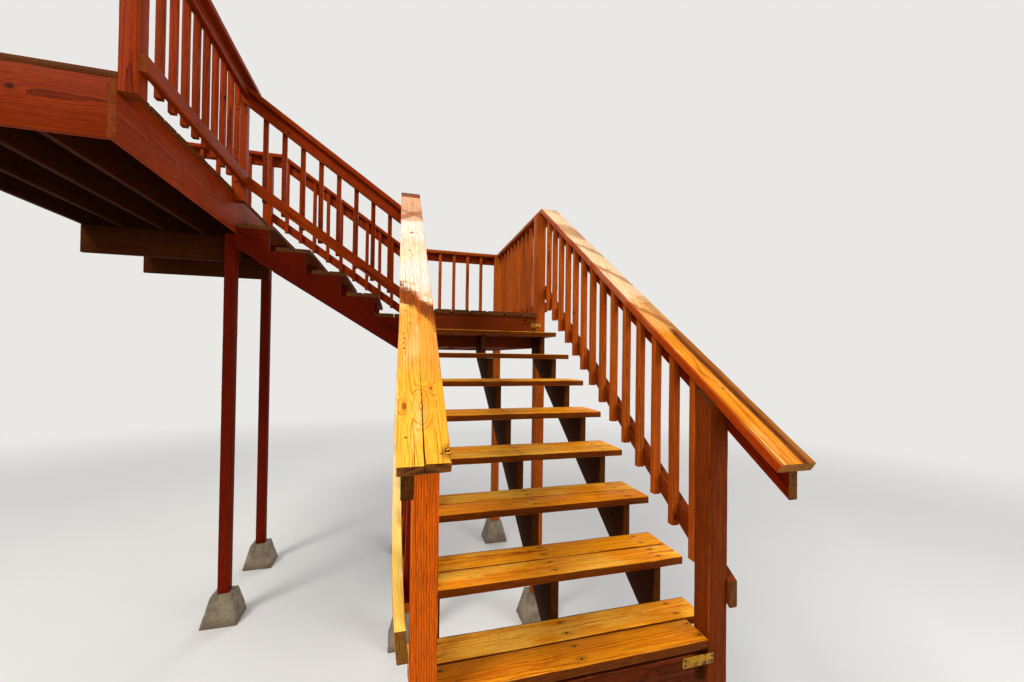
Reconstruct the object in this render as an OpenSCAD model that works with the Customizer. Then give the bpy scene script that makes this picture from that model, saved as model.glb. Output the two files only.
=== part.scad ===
// Wooden deck stairs: a lower flight, a landing, an upper flight and one bay of the deck they reach.
// X runs right across the lower flight, Y runs up it and Z is up. All sizes are in millimetres.
// The modules take heights from the ground at the stair foot and X from the middle of the lower flight.

/* [Lumber] */
// Thickness of every two-by board
board_t = 38; // [34:1:40]
// Side of the square posts
post_w = 89; // [80:1:100]
// Height of the narrow rails, measured across the board
rail_w = 89; // [75:1:95]
// Width of tread and deck boards
plank_w = 140; // [130:1:142]
// Width of the cap boards
cap_w = 150; // [140:1:155]
// Width of the boards the stringers are cut from
stringer_w = 286; // [270:1:300]
// Side of the square balusters
baluster_w = 38; // [30:1:45]

/* [Lower flight] */
// Rise of each lower step
rise = 190; // [180:1:195]
// Run of each lower step
run = 280; // [275:1:300]
// Clear width between the posts
clear_w = 1066; // [950:1:1200]
// Height of the ground at the stair foot above the lowest ground under the stairs
foot_height = 1100; // [950:10:1300]
// How far each tread reaches in front of the stringer cut
nosing = 40; // [36:1:45]
// Gap between the two boards of a tread
tread_gap = 6; // [3:1:7]
// Gap between the first tread's front board and the posts
post_gap = 3; // [2:1:6]
// How far the first riser and the foot posts stand back from the nosing
foot_setback = 2; // [1:1:5]
// Gap from the ends of the riser boards to the posts
riser_recess = 63; // [50:1:80]
// Height of the riser boards
riser_w = 140; // [125:1:145]
// Gap between the two riser boards on the middle stringer
riser_joint = 2; // [1:1:4]

/* [Landing] */
// Length of the landing from its nosing to its far rim
landing_length = 1849; // [1700:1:2000]
// Height of the rim and joist boards
rim_w = 286; // [240:1:300]
// How far the landing boards reach past the front rim
board_overhang = 12; // [8:1:20]
// Number of joists between the landing's side rims
landing_joists = 3; // [2:1:4]
// Least gap between the boards of the landing and the deck
board_gap = 6; // [3:1:10]
// Height of the guard above the landing
landing_guard_height = 955; // [900:5:1000]
// How far in front of the near landing posts the caps turn level
cap_turn = 24; // [15:1:40]
// Gap between boards that butt in the frames and at the corners of the caps
butt_gap = 0.3; // [0.2:0.1:0.8]
// How far the landing newel stops below the undersides of the caps
newel_drop = 16; // [5:1:25]

/* [Upper flight] */
// Rise of each upper step
upper_rise = 186; // [180:1:190]
// Run of each upper step
upper_run = 300; // [295:1:315]
// Height from the top tread to the deck
top_rise = 274; // [260:1:285]
// Width of the upper flight over its stringers
upper_w = 1167; // [1000:1:1250]
// Length of the landing level that the upper stringers carry, up to the first nosing
lap = 336; // [310:1:360]
// Number of boards on that length
lap_count = 2; // [2:1:3]

/* [Deck bay] */
// Depth of the deck from its rim to the ledger
deck_depth = 1220; // [1100:10:1500]
// Length of the built bay along the rim
deck_length = 2889; // [2700:1:3100]
// Height of the deck's rim and joist boards
deck_rim_w = 305; // [295:1:320]
// Spacing of the deck joists
joist_pitch = 300; // [260:10:340]
// Height of the beams under the joists
beam_w = 235; // [200:1:250]
// Distance from the upper flight's near side to the near deck post
deck_post_in = 124; // [100:1:200]
// Distance from the rim's face to the deck posts
deck_post_back = 40; // [40:1:60]
// How far in front of the deck's rim the upper caps turn level
deck_cap_turn = 58; // [45:1:70]
// How far the outer deck newels reach below the deck boards
newel_lap = 60; // [50:1:120]

/* [Guards] */
// Height of the lower flight's bottom rails above the nosing line
low_rail_height = 120; // [100:1:130]
// Height of the upper flight's bottom rails above the nosing line
upper_low_rail_height = 85; // [75:1:120]
// Gap between a level bottom rail and the boards below it
low_rail_lift = 20; // [16:1:30]
// How far the right bottom rail reaches past the right foot post
low_rail_reach_right = 12; // [0:1:30]
// How far the left bottom rail reaches past the left foot post
low_rail_reach_left = 2; // [0:1:30]
// Middle spacing that the balusters are shared out to
baluster_pitch = 147; // [125:1:160]
// How much nearer to the foot posts than a full space the first balusters stand
baluster_lead = 62; // [0:1:80]
// Middle spacing of the balusters on the landing's far side
far_baluster_pitch = 178; // [160:1:190]
// Gap between the tops of the balusters and the caps
baluster_gap = 2; // [1:0.5:4]
// How far the balusters reach below the bottom rail
baluster_drop = 15; // [5:1:15]
// How far the caps reach over the inner side of the rails
cap_inner = 64; // [55:1:70]
// How far the left caps of the lower flight and the landing reach over it
cap_inner_left = 100; // [80:1:105]
// How far the underside of the right cap reaches past the right foot post
cap_reach_right = 285; // [280:1:320]
// How far the underside of the left cap reaches past the left foot post
cap_reach_left = 210; // [210:1:320]
// How far the right top rail reaches past the right foot post
rail_reach_right = 275; // [160:1:275]
// How far the left top rail reaches past the left foot post
rail_reach_left = 204; // [160:1:206]
// How much its end leans back for each unit of its height
rail_lean_left = 0.35; // [0:0.05:0.65]

/* [Metal and concrete] */
// Length of the straps at the stair foot
strap_length = 143; // [135:1:160]
// Part of a foot strap that lies on its post
strap_lap = 22; // [20:1:30]
// Distance from the top of a riser board to its strap
strap_down = 5; // [3:1:15]
// Length of the straps at the landing
landing_strap_length = 92; // [80:1:120]
// Height of the straps
strap_w = 41; // [35:1:45]
// Thickness of the straps
strap_t = 3; // [2:0.5:4]
// Height of the pier blocks
pier_height = 250; // [200:5:300]
// Side of a pier block's top
pier_top = 170; // [150:5:200]
// Side of a pier block's base
pier_base = 290; // [250:5:340]

/* [Hidden] */

// Steps of the two flights, each with a tread of its own name
lower_steps = 8;
upper_steps = 4;

// Levels
landing_z = (lower_steps + 1) * rise;
landing_under = landing_z - board_t;
rim_z = landing_under - rim_w;
deck_z = landing_z + upper_steps * upper_rise + top_rise;
deck_under = deck_z - board_t;
deck_rim_z = deck_under - deck_rim_w;
pier_z = pier_height - foot_height;

// Across the lower flight
post_x = clear_w / 2;
outer_x = post_x + post_w;
rail_x = outer_x + board_t;
post_mid_x = post_x + post_w / 2;
cap_x = [outer_x - cap_inner, outer_x - cap_inner + cap_w];
left_cap_x = [outer_x - cap_inner_left, outer_x - cap_inner_left + cap_w];

// Up the lower flight and along the landing
landing_y = lower_steps * run;
rim_y = landing_y + board_overhang;
near_post_mid_y = rim_y + post_w / 2;
far_y = landing_y + landing_length;
far_post_y = far_y - post_w;
far_post_mid_y = far_y - post_w / 2;
upper_y = far_post_y - upper_w;
newel_y = upper_y - post_w;
near_rail_y = newel_y - board_t;
near_cap_y = [newel_y + cap_inner - cap_w, newel_y + cap_inner];
far_cap_y = [far_y - cap_inner, far_y - cap_inner + cap_w];

// Along the upper flight and the deck, to the left
first_nosing_x = -post_x - lap;
deck_x = first_nosing_x - upper_steps * upper_run;
ledger_x = deck_x - deck_depth;
newel_x = deck_x + post_w;
side_rail_x = newel_x + board_t;
side_cap_x = [newel_x - cap_inner, newel_x - cap_inner + cap_w];
deck_post_x = deck_x - deck_post_back - post_w;
near_deck_post_y = upper_y + deck_post_in;
corner_newel_x = deck_x - board_t - post_w;
deck_near_y = far_y - deck_length;

// Slopes
lower_slope = rise / run;
upper_slope = -upper_rise / upper_run;
guard_slope = (deck_z - landing_z - upper_rise) / (deck_x - first_nosing_x);

// Where the undersides of the caps turn from level to raking
landing_cap_z = landing_z + landing_guard_height - board_t;
lower_turn = [rim_y - cap_turn, landing_cap_z];
landing_turn = [-outer_x, landing_cap_z];
deck_turn_x = deck_x + deck_cap_turn;
deck_cap_z = landing_cap_z + guard_slope * (deck_turn_x + outer_x);
deck_turn = [deck_turn_x, deck_cap_z];

// Vertical distances from the undersides of the caps down to the bottom rails' lower edges
lower_drop = landing_cap_z - lower_nosing_line(lower_turn[0]) - low_rail_height;
upper_drop = landing_cap_z - upper_nosing_line(landing_turn[0]) - upper_low_rail_height;
landing_drop = landing_cap_z - landing_z - low_rail_lift;
deck_drop = deck_cap_z - deck_z - low_rail_lift;

// Middle of the whole, over which it stands
pier_reach = pier_base / 2;
right_edge = max(cap_x[1], post_mid_x + pier_reach);
far_edge = max(far_cap_y[1], far_post_mid_y + pier_reach);
near_edge = foot_setback - max(cap_reach_left, cap_reach_right) - board_t * sin(atan(lower_slope));
center_x = (ledger_x + right_edge) / 2;
center_y = (near_edge + far_edge) / 2;

// Colours
stain = [0.66, 0.33, 0.17];
dark_stain = [0.36, 0.17, 0.10];
red_stain = [0.55, 0.20, 0.13];
golden = [0.78, 0.50, 0.25];
pale = [0.83, 0.64, 0.34];
zinc = [0.85, 0.72, 0.35];
concrete = [0.60, 0.56, 0.50];

// Height of the line over the nosings, on the lower flight at y and on the upper flight at x
function lower_nosing_line(y) = rise + lower_slope * y;
function upper_nosing_line(x) = landing_z + upper_rise + guard_slope * (x - first_nosing_x);

// Point at u on the line through p
function on_line(p, slope, u) = [u, p[1] + slope * (u - p[0])];

// Vertical height of a board of this width that lies along the slope
function plumb_height(width, slope) = width * sqrt(1 + slope * slope);

// Lean of the cut that halves the angle between two slopes
function mitre(a, b) = -tan((atan(a) + atan(b)) / 2);

// The corner opposite p across a board, where the cut leans
function across(p, slope, width, lean) =
    let (up = plumb_height(width, slope) / (1 - slope * lean))
    [p[0] + lean * up, p[1] + up];

// Number of boards that fit on a length, and the gap that shares them out
function board_count(length) = floor((length + board_gap) / (plank_w + board_gap));
function shared_gap(length, count) = (length - count * plank_w) / (count - 1);

// Stands the whole over the middle of its box, with the lowest ground at zero
module placed() {
    translate([-center_x, -center_y, foot_height]) children();
}

// Box between two values on each axis
module block(x, y, z) {
    translate([x[0], y[0], z[0]]) cube([x[1] - x[0], y[1] - y[0], z[1] - z[0]]);
}

// Stands an outline drawn in Y and Z upright, from x0 to x1
module from_side(x0, x1) {
    translate([x0, 0, 0]) rotate([90, 0, 90]) linear_extrude(x1 - x0) children();
}

// Stands an outline drawn in X and Z upright, from y0 to y1
module from_front(y0, y1) {
    translate([0, y1, 0]) rotate([90, 0, 0]) linear_extrude(y1 - y0) children();
}

// Puts a piece on the right and its mirror image on the left
module both_sides() {
    children();
    mirror([1, 0, 0]) children();
}

// Outline of a board with one edge from p to q
module board_outline(p, q, width, lean_p = 0, lean_q = 0) {
    slope = (q[1] - p[1]) / (q[0] - p[0]);
    polygon([p, q, across(q, slope, width, lean_q), across(p, slope, width, lean_p)]);
}

// Outline of a post or baluster of this width whose top follows the line through p
module upright_outline(u, width, low, p, slope) {
    left = on_line(p, slope, u - width / 2);
    right = on_line(p, slope, u + width / 2);
    polygon([[left[0], low], [right[0], low], right, left]);
}

// Balusters shared out between two posts, under the cap line through p
module balusters(start, end, p, slope, drop, pitch = baluster_pitch) {
    count = max(2, round(abs(end - start) / pitch) - 1);
    for (i = [1 : count]) {
        u = start + (end - start) * i / (count + 1);
        low = on_line(p, slope, u)[1] - drop - baluster_drop;
        upright_outline(u, baluster_w, low, [p[0], p[1] - baluster_gap], slope);
    }
}

// Bottom rail between two places, under the cap line through p
module bottom_rail(start, end, p, slope, drop) {
    low = [p[0], p[1] - drop];
    board_outline(on_line(low, slope, start), on_line(low, slope, end), rail_w);
}

// Sawtooth outline of a stringer of the lower flight, with its plumb end at the landing's rim
module lower_stringer_outline() {
    seat_z = rise - board_t;
    low_line = [nosing, seat_z - plumb_height(stringer_w, lower_slope)];
    polygon([
        for (k = [1 : lower_steps]) each [
            [nosing + (k - 1) * run, k == 1 ? 0 : seat_z + (k - 2) * rise],
            [nosing + (k - 1) * run, seat_z + (k - 1) * rise]
        ],
        [rim_y, seat_z + (lower_steps - 1) * rise],
        on_line(low_line, lower_slope, rim_y),
        [nosing - low_line[1] / lower_slope, 0]
    ]);
}

// Sawtooth outline of a stringer of the upper flight, plumb at the landing and at the deck
module upper_stringer_outline() {
    cut_x = first_nosing_x - nosing;
    low_line = [cut_x, landing_under + upper_rise - plumb_height(stringer_w, upper_slope)];
    polygon([
        on_line(low_line, upper_slope, -post_x),
        [-post_x, landing_under],
        for (k = [1 : upper_steps]) each [
            [cut_x - (k - 1) * upper_run, landing_under + (k - 1) * upper_rise],
            [cut_x - (k - 1) * upper_run, landing_under + k * upper_rise]
        ],
        [deck_x, landing_under + upper_steps * upper_rise],
        on_line(low_line, upper_slope, deck_x)
    ]);
}

module lower_stringer(x) {
    placed() color(dark_stain) from_side(x, x + board_t) lower_stringer_outline();
}

module lower_stringer_left() {
    lower_stringer(-post_x);
}

module lower_stringer_middle() {
    lower_stringer(-board_t / 2);
}

module lower_stringer_right() {
    lower_stringer(post_x - board_t);
}

// Two boards side by side; the first tread's front board stays between the foot posts
module lower_tread(k) {
    y = (k - 1) * run;
    z = [k * rise - board_t, k * rise];
    front_x = k == 1 ? post_x - post_gap : outer_x;
    placed() color(stain) {
        block([-front_x, front_x], [y, y + plank_w], z);
        block([-outer_x, outer_x], [y + plank_w + tread_gap, y + 2 * plank_w + tread_gap], z);
    }
}

module lower_tread_1() {
    lower_tread(1);
}

module lower_tread_2() {
    lower_tread(2);
}

module lower_tread_3() {
    lower_tread(3);
}

module lower_tread_4() {
    lower_tread(4);
}

module lower_tread_5() {
    lower_tread(5);
}

module lower_tread_6() {
    lower_tread(6);
}

module lower_tread_7() {
    lower_tread(7);
}

module lower_tread_8() {
    lower_tread(8);
}

// Two boards that close the foot of the flight and meet on the middle stringer
module bottom_riser() {
    placed() color(stain) both_sides()
        block([riser_joint / 2, post_x - riser_recess], [foot_setback, nosing], [0, riser_w]);
}

// Flat straps that tie the riser boards to the foot posts and the landing's rim to its near posts
module strap_ties() {
    foot_z = riser_w - strap_down - strap_w;
    foot_x = [post_x + strap_lap - strap_length, post_x + strap_lap];
    landing_x = [post_x - landing_strap_length / 2, post_x + landing_strap_length / 2];
    rim_strap_z = (landing_under + lower_steps * rise - strap_w) / 2;
    placed() color(zinc) both_sides() {
        block(foot_x, [foot_setback - strap_t, foot_setback], [foot_z, foot_z + strap_w]);
        block(landing_x, [rim_y - strap_t, rim_y], [rim_strap_z, rim_strap_z + strap_w]);
    }
}

// The posts at the stair foot, cut to the rake of the caps
module foot_posts() {
    placed() color(stain) both_sides() from_side(post_x, outer_x)
        upright_outline(foot_setback + post_w / 2, post_w, -foot_height, lower_turn, lower_slope);
}

// Four posts from their piers to the caps, and the newel beside the upper flight
module landing_posts() {
    placed() color(stain) {
        both_sides() {
            block([post_x, outer_x], [rim_y, rim_y + post_w], [pier_z, landing_cap_z]);
            block([post_x, outer_x], [far_post_y, far_y], [pier_z, landing_cap_z]);
        }
        block([-outer_x, -post_x], [newel_y, upper_y], [rim_z, landing_cap_z - newel_drop]);
    }
}

// Square block that tapers towards its top
module pier_block() {
    outline = [
        [-pier_base / 2, 0], [pier_base / 2, 0],
        [pier_top / 2, pier_height], [-pier_top / 2, pier_height]
    ];
    intersection() {
        from_side(-pier_base / 2, pier_base / 2) polygon(outline);
        from_front(-pier_base / 2, pier_base / 2) polygon(outline);
    }
}

module pier_blocks() {
    deck_mid_x = deck_post_x + post_w / 2;
    near_deck_mid_y = near_deck_post_y + post_w / 2;
    places = [
        [post_mid_x, near_post_mid_y], [-post_mid_x, near_post_mid_y],
        [post_mid_x, far_post_mid_y], [-post_mid_x, far_post_mid_y],
        [deck_mid_x, near_deck_mid_y], [deck_mid_x, far_post_mid_y]
    ];
    placed() color(concrete) for (p = places)
        translate([p[0], p[1], -foot_height]) pier_block();
}

// Rims on all four sides with joists between the near and the far one
module landing_frame() {
    z = [rim_z, landing_under];
    inner_x = post_x - board_t;
    rim_x = [butt_gap - inner_x, inner_x - butt_gap];
    joist_y = [rim_y + board_t + butt_gap, far_y - board_t - butt_gap];
    pitch = 2 * inner_x / (landing_joists + 1);
    placed() color(dark_stain) {
        both_sides() block([inner_x, post_x], [rim_y, far_y], z);
        block(rim_x, [rim_y, rim_y + board_t], z);
        block(rim_x, [far_y - board_t, far_y], z);
        for (i = [1 : landing_joists]) {
            x = i * pitch - inner_x;
            block([x - board_t / 2, x + board_t / 2], joist_y, z);
        }
    }
}

module landing_decking() {
    count = board_count(clear_w);
    step = plank_w + shared_gap(clear_w, count);
    placed() color(golden) for (i = [0 : count - 1]) {
        x = i * step - post_x;
        block([x, x + plank_w], [landing_y, far_y], [landing_under, landing_z]);
    }
}

// Boards of the landing level that lie on the upper stringers
module lap_boards() {
    width = (lap + nosing) / lap_count - tread_gap;
    placed() color(golden) for (i = [1 : lap_count]) {
        x = -post_x - i * (width + tread_gap);
        block([x, x + width], [upper_y, far_post_y], [landing_under, landing_z]);
    }
}

module upper_stringer(y) {
    placed() color(dark_stain) from_front(y, y + board_t) upper_stringer_outline();
}

module upper_stringer_near() {
    upper_stringer(upper_y);
}

module upper_stringer_middle() {
    upper_stringer((upper_y + far_post_y - board_t) / 2);
}

module upper_stringer_far() {
    upper_stringer(far_post_y - board_t);
}

module upper_tread(k) {
    x = first_nosing_x - (k - 1) * upper_run;
    z = landing_z + k * upper_rise;
    placed() color(stain) for (front = [x, x - plank_w - tread_gap])
        block([front - plank_w, front], [upper_y, far_post_y], [z - board_t, z]);
}

module upper_tread_1() {
    upper_tread(1);
}

module upper_tread_2() {
    upper_tread(2);
}

module upper_tread_3() {
    upper_tread(3);
}

module upper_tread_4() {
    upper_tread(4);
}

module deck_posts() {
    x = [deck_post_x, deck_post_x + post_w];
    placed() color(red_stain) for (y = [near_deck_post_y, far_post_y])
        block(x, [y, y + post_w], [pier_z, deck_rim_z]);
}

// Beams fixed to the sides of the deck posts, under the joists
module deck_beams() {
    placed() color(red_stain) for (y = [near_deck_post_y + post_w, far_post_y - board_t])
        block([ledger_x, deck_post_x + post_w], [y, y + board_t], [deck_rim_z - beam_w, deck_rim_z]);
}

// Rim, ledger, a header at each end and the joists between them
module deck_frame() {
    z = [deck_rim_z, deck_under];
    joist_count = floor((deck_depth - 2 * board_t) / joist_pitch);
    header_x = [ledger_x + board_t + butt_gap, deck_x - board_t - butt_gap];
    joist_y = [deck_near_y + board_t + butt_gap, far_y - board_t - butt_gap];
    placed() color(stain) {
        for (x = [ledger_x, deck_x - board_t])
            block([x, x + board_t], [deck_near_y, far_y], z);
        for (y = [deck_near_y, far_y - board_t])
            block(header_x, [y, y + board_t], z);
        for (i = [1 : joist_count]) {
            x = deck_x - i * joist_pitch;
            block([x - board_t, x], joist_y, z);
        }
    }
}

module deck_decking() {
    count = board_count(deck_length);
    step = plank_w + shared_gap(deck_length, count);
    placed() color(golden) for (i = [0 : count - 1]) {
        y = deck_near_y + i * step;
        block([ledger_x, deck_x], [y, y + plank_w], [deck_under, deck_z]);
    }
}

// Newels on the rim's face at both ends of the side guard, and one on the deck's far corner
module deck_newels() {
    placed() color(red_stain) {
        for (y = [deck_near_y, newel_y])
            block([deck_x, newel_x], [y, y + post_w], [deck_under - newel_lap, deck_cap_z]);
        block([corner_newel_x, corner_newel_x + post_w], [far_post_y, far_y], [deck_z, deck_cap_z]);
    }
}

// Raking panel at the right of the lower flight: two rails, with the balusters on their inner side
module lower_guard(top_reach, top_lean, low_reach) {
    top_start = on_line(lower_turn, lower_slope, foot_setback - top_reach);
    from_side(outer_x, rail_x) {
        board_outline(top_start, lower_turn, -rail_w, top_lean, mitre(lower_slope, 0));
        bottom_rail(foot_setback - low_reach, near_post_mid_y, lower_turn, lower_slope, lower_drop);
    }
    from_side(outer_x - baluster_w, outer_x)
        balusters(foot_setback + post_w - baluster_lead, rim_y, lower_turn, lower_slope, lower_drop);
}

// The end of the left top rail leans back, that of the right one is plumb
module lower_guard_left() {
    placed() color(red_stain) mirror([1, 0, 0])
        lower_guard(rail_reach_left, -rail_lean_left, low_rail_reach_left);
}

module lower_guard_right() {
    placed() color(stain) lower_guard(rail_reach_right, 0, low_rail_reach_right);
}

// Raking cap on the right side of the lower flight, cut square to its length at the foot
module lower_cap(x, reach) {
    start = on_line(lower_turn, lower_slope, foot_setback - reach);
    from_side(x[0], x[1])
        board_outline(start, lower_turn, board_t, -lower_slope, mitre(lower_slope, 0));
}

module lower_cap_left() {
    placed() color(pale) mirror([1, 0, 0]) lower_cap(left_cap_x, cap_reach_left);
}

module lower_cap_right() {
    placed() color(golden) lower_cap(cap_x, cap_reach_right);
}

// Level panel along the right side of the landing, from the turn of the cap
module landing_side_guard(rail_end, post_end) {
    from_side(outer_x, rail_x) {
        board_outline(lower_turn, [rail_end, landing_cap_z], -rail_w, mitre(lower_slope, 0), 0);
        bottom_rail(near_post_mid_y, rail_end, lower_turn, 0, landing_drop);
    }
    from_side(outer_x - baluster_w, outer_x)
        balusters(rim_y + post_w, post_end, lower_turn, 0, landing_drop);
}

module landing_guard_left() {
    placed() color(red_stain) mirror([1, 0, 0]) landing_side_guard(near_rail_y, newel_y);
}

module landing_guard_right() {
    placed() color(stain) landing_side_guard(far_y + board_t, far_post_y);
}

module landing_guard_far() {
    placed() color(stain) {
        from_front(far_y, far_y + board_t) {
            board_outline([outer_x, landing_cap_z], landing_turn, -rail_w, 0, mitre(0, guard_slope));
            bottom_rail(outer_x, -post_mid_x, landing_turn, 0, landing_drop);
        }
        from_front(far_y - baluster_w, far_y)
            balusters(post_x, -post_x, landing_turn, 0, landing_drop, far_baluster_pitch);
    }
}

module landing_caps() {
    placed() color(stain) {
        from_side(cap_x[0], cap_x[1])
            board_outline(lower_turn, [far_cap_y[1], landing_cap_z], board_t, mitre(lower_slope, 0), 0);
        mirror([1, 0, 0]) from_side(left_cap_x[0], left_cap_x[1])
            board_outline(lower_turn, [near_cap_y[0], landing_cap_z], board_t, mitre(lower_slope, 0), 0);
        from_front(far_cap_y[0], far_cap_y[1]) {
            start = [cap_x[0] - butt_gap, landing_cap_z];
            board_outline(start, landing_turn, board_t, 0, mitre(0, guard_slope));
        }
    }
}

// Raking panel on the near newels of the upper flight, its top rail cut level under the deck's cap
module upper_guard_near() {
    newel_mid_x = newel_x - post_w / 2;
    top_start = on_line(landing_turn, guard_slope, -post_mid_x);
    placed() color(red_stain) {
        from_front(near_rail_y, newel_y) {
            board_outline(top_start, deck_turn, -rail_w, 0, 0);
            bottom_rail(-post_mid_x, newel_mid_x, landing_turn, guard_slope, upper_drop);
        }
        from_front(newel_y, newel_y + baluster_w)
            balusters(-outer_x, newel_x, landing_turn, guard_slope, upper_drop);
    }
}

module upper_guard_far() {
    corner_mid_x = corner_newel_x + post_w / 2;
    turn_lean = mitre(0, guard_slope);
    placed() color(red_stain) {
        from_front(far_y, far_y + board_t) {
            board_outline(landing_turn, deck_turn, -rail_w, turn_lean, turn_lean);
            bottom_rail(-post_mid_x, corner_mid_x, landing_turn, guard_slope, upper_drop);
        }
        from_front(far_y - baluster_w, far_y)
            balusters(-outer_x, corner_newel_x + post_w, landing_turn, guard_slope, upper_drop);
    }
}

// The near cap starts at the landing newel and tucks under the deck's cap
module upper_caps() {
    turn_lean = mitre(0, guard_slope);
    tuck_x = deck_turn_x - plumb_height(board_t, guard_slope) / guard_slope;
    near_end = on_line(landing_turn, guard_slope, max(side_rail_x, tuck_x));
    placed() color(red_stain) {
        from_front(near_cap_y[0], near_cap_y[1])
            board_outline(landing_turn, near_end, board_t);
        from_front(far_cap_y[0], far_cap_y[1])
            board_outline(landing_turn, deck_turn, board_t, turn_lean, turn_lean);
    }
}

// Level panel on the outer face of the newels along the deck's rim
module deck_guard_side() {
    placed() color(red_stain) {
        from_side(newel_x, side_rail_x) {
            board_outline([deck_near_y, deck_cap_z], [near_rail_y, deck_cap_z], -rail_w);
            bottom_rail(deck_near_y, near_rail_y, [deck_near_y, deck_cap_z], 0, deck_drop);
        }
        from_side(newel_x - baluster_w, newel_x)
            balusters(deck_near_y + post_w, newel_y, [deck_near_y, deck_cap_z], 0, deck_drop);
    }
}

module deck_guard_far() {
    corner_mid_x = corner_newel_x + post_w / 2;
    placed() color(red_stain) {
        from_front(far_y, far_y + board_t) {
            board_outline(deck_turn, [ledger_x, deck_cap_z], -rail_w, mitre(0, guard_slope), 0);
            bottom_rail(corner_mid_x, ledger_x, deck_turn, 0, deck_drop);
        }
        from_front(far_y - baluster_w, far_y)
            balusters(corner_newel_x, ledger_x, deck_turn, 0, deck_drop);
    }
}

module deck_caps() {
    placed() color(red_stain) {
        from_side(side_cap_x[0], side_cap_x[1])
            board_outline([deck_near_y, deck_cap_z], [upper_y, deck_cap_z], board_t);
        from_front(far_cap_y[0], far_cap_y[1])
            board_outline(deck_turn, [ledger_x, deck_cap_z], board_t, mitre(0, guard_slope), 0);
    }
}

lower_stringer_left();
lower_stringer_middle();
lower_stringer_right();
lower_tread_1();
lower_tread_2();
lower_tread_3();
lower_tread_4();
lower_tread_5();
lower_tread_6();
lower_tread_7();
lower_tread_8();
bottom_riser();
strap_ties();
foot_posts();
landing_posts();
pier_blocks();
landing_frame();
landing_decking();
lap_boards();
upper_stringer_near();
upper_stringer_middle();
upper_stringer_far();
upper_tread_1();
upper_tread_2();
upper_tread_3();
upper_tread_4();
deck_posts();
deck_beams();
deck_frame();
deck_decking();
deck_newels();
lower_guard_left();
lower_guard_right();
lower_cap_left();
lower_cap_right();
landing_guard_left();
landing_guard_right();
landing_guard_far();
landing_caps();
upper_guard_near();
upper_guard_far();
upper_caps();
deck_guard_side();
deck_guard_far();
deck_caps();
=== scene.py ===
import math
import random

import bmesh
import bpy
from mathutils import Matrix, Vector, noise


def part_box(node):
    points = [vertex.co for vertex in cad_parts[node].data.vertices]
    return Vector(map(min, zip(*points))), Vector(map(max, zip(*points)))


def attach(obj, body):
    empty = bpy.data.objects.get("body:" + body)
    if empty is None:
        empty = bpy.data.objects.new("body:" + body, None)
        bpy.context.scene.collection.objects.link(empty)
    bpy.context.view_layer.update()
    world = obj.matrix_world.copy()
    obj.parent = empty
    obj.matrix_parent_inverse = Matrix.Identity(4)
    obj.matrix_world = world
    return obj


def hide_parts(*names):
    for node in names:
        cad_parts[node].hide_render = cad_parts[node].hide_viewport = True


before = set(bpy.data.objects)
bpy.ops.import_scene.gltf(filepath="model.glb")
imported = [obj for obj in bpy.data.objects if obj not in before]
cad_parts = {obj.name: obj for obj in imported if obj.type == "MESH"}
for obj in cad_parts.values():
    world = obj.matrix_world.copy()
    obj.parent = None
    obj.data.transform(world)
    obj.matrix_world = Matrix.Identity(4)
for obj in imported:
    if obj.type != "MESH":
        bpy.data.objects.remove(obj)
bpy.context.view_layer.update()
print("stairs: frame loaded,", len(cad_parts), "nodes")

# Sizes in metres, as on the drawing: x from the middle of the lower flight, y from its first nosing,
# z from the foot of its stringers. The foot posts tell where that is in the frame.
plan = {"rise": 0.190, "run": 0.280, "postX": 0.622, "postY": 0.002, "footDepth": 1.1,
        "landing": 1.710, "deck": 2.728, "caps": 2.627, "board": 0.14,
        "upperRise": 0.186, "upperRun": 0.300, "upperStart": -0.869,
        "deckY": 1.2, "deckLength": 2.889, "deckBoards": 19, "landingWidth": 1.066, "landingBoards": 7}
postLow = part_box("foot_posts")[0]
drawing = Vector((postLow.x + plan["postX"], postLow.y - plan["postY"], postLow.z + plan["footDepth"]))


def at(x, y, z):
    return drawing + Vector((x, y, z))


def newObject(name, data):
    made = bpy.data.objects.new(name, data)
    bpy.context.scene.collection.objects.link(made)
    return made


# Node graphs: a signal is a socket that can be used in sums, and one method adds any node

class Signal:
    def __init__(self, graph, node, socket):
        self.graph, self.node, self.socket = graph, node, socket

    def out(self, name):
        return Signal(self.graph, self.node, self.node.outputs[name])

    def __add__(self, other):
        return self.graph.math("ADD", self, other)

    def __sub__(self, other):
        return self.graph.math("SUBTRACT", self, other)

    def __rsub__(self, other):
        return self.graph.math("SUBTRACT", other, self)

    def __mul__(self, other):
        return self.graph.math("MULTIPLY", self, other)

    def __truediv__(self, other):
        return self.graph.math("DIVIDE", self, other)

    __radd__, __rmul__ = __add__, __mul__


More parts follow.
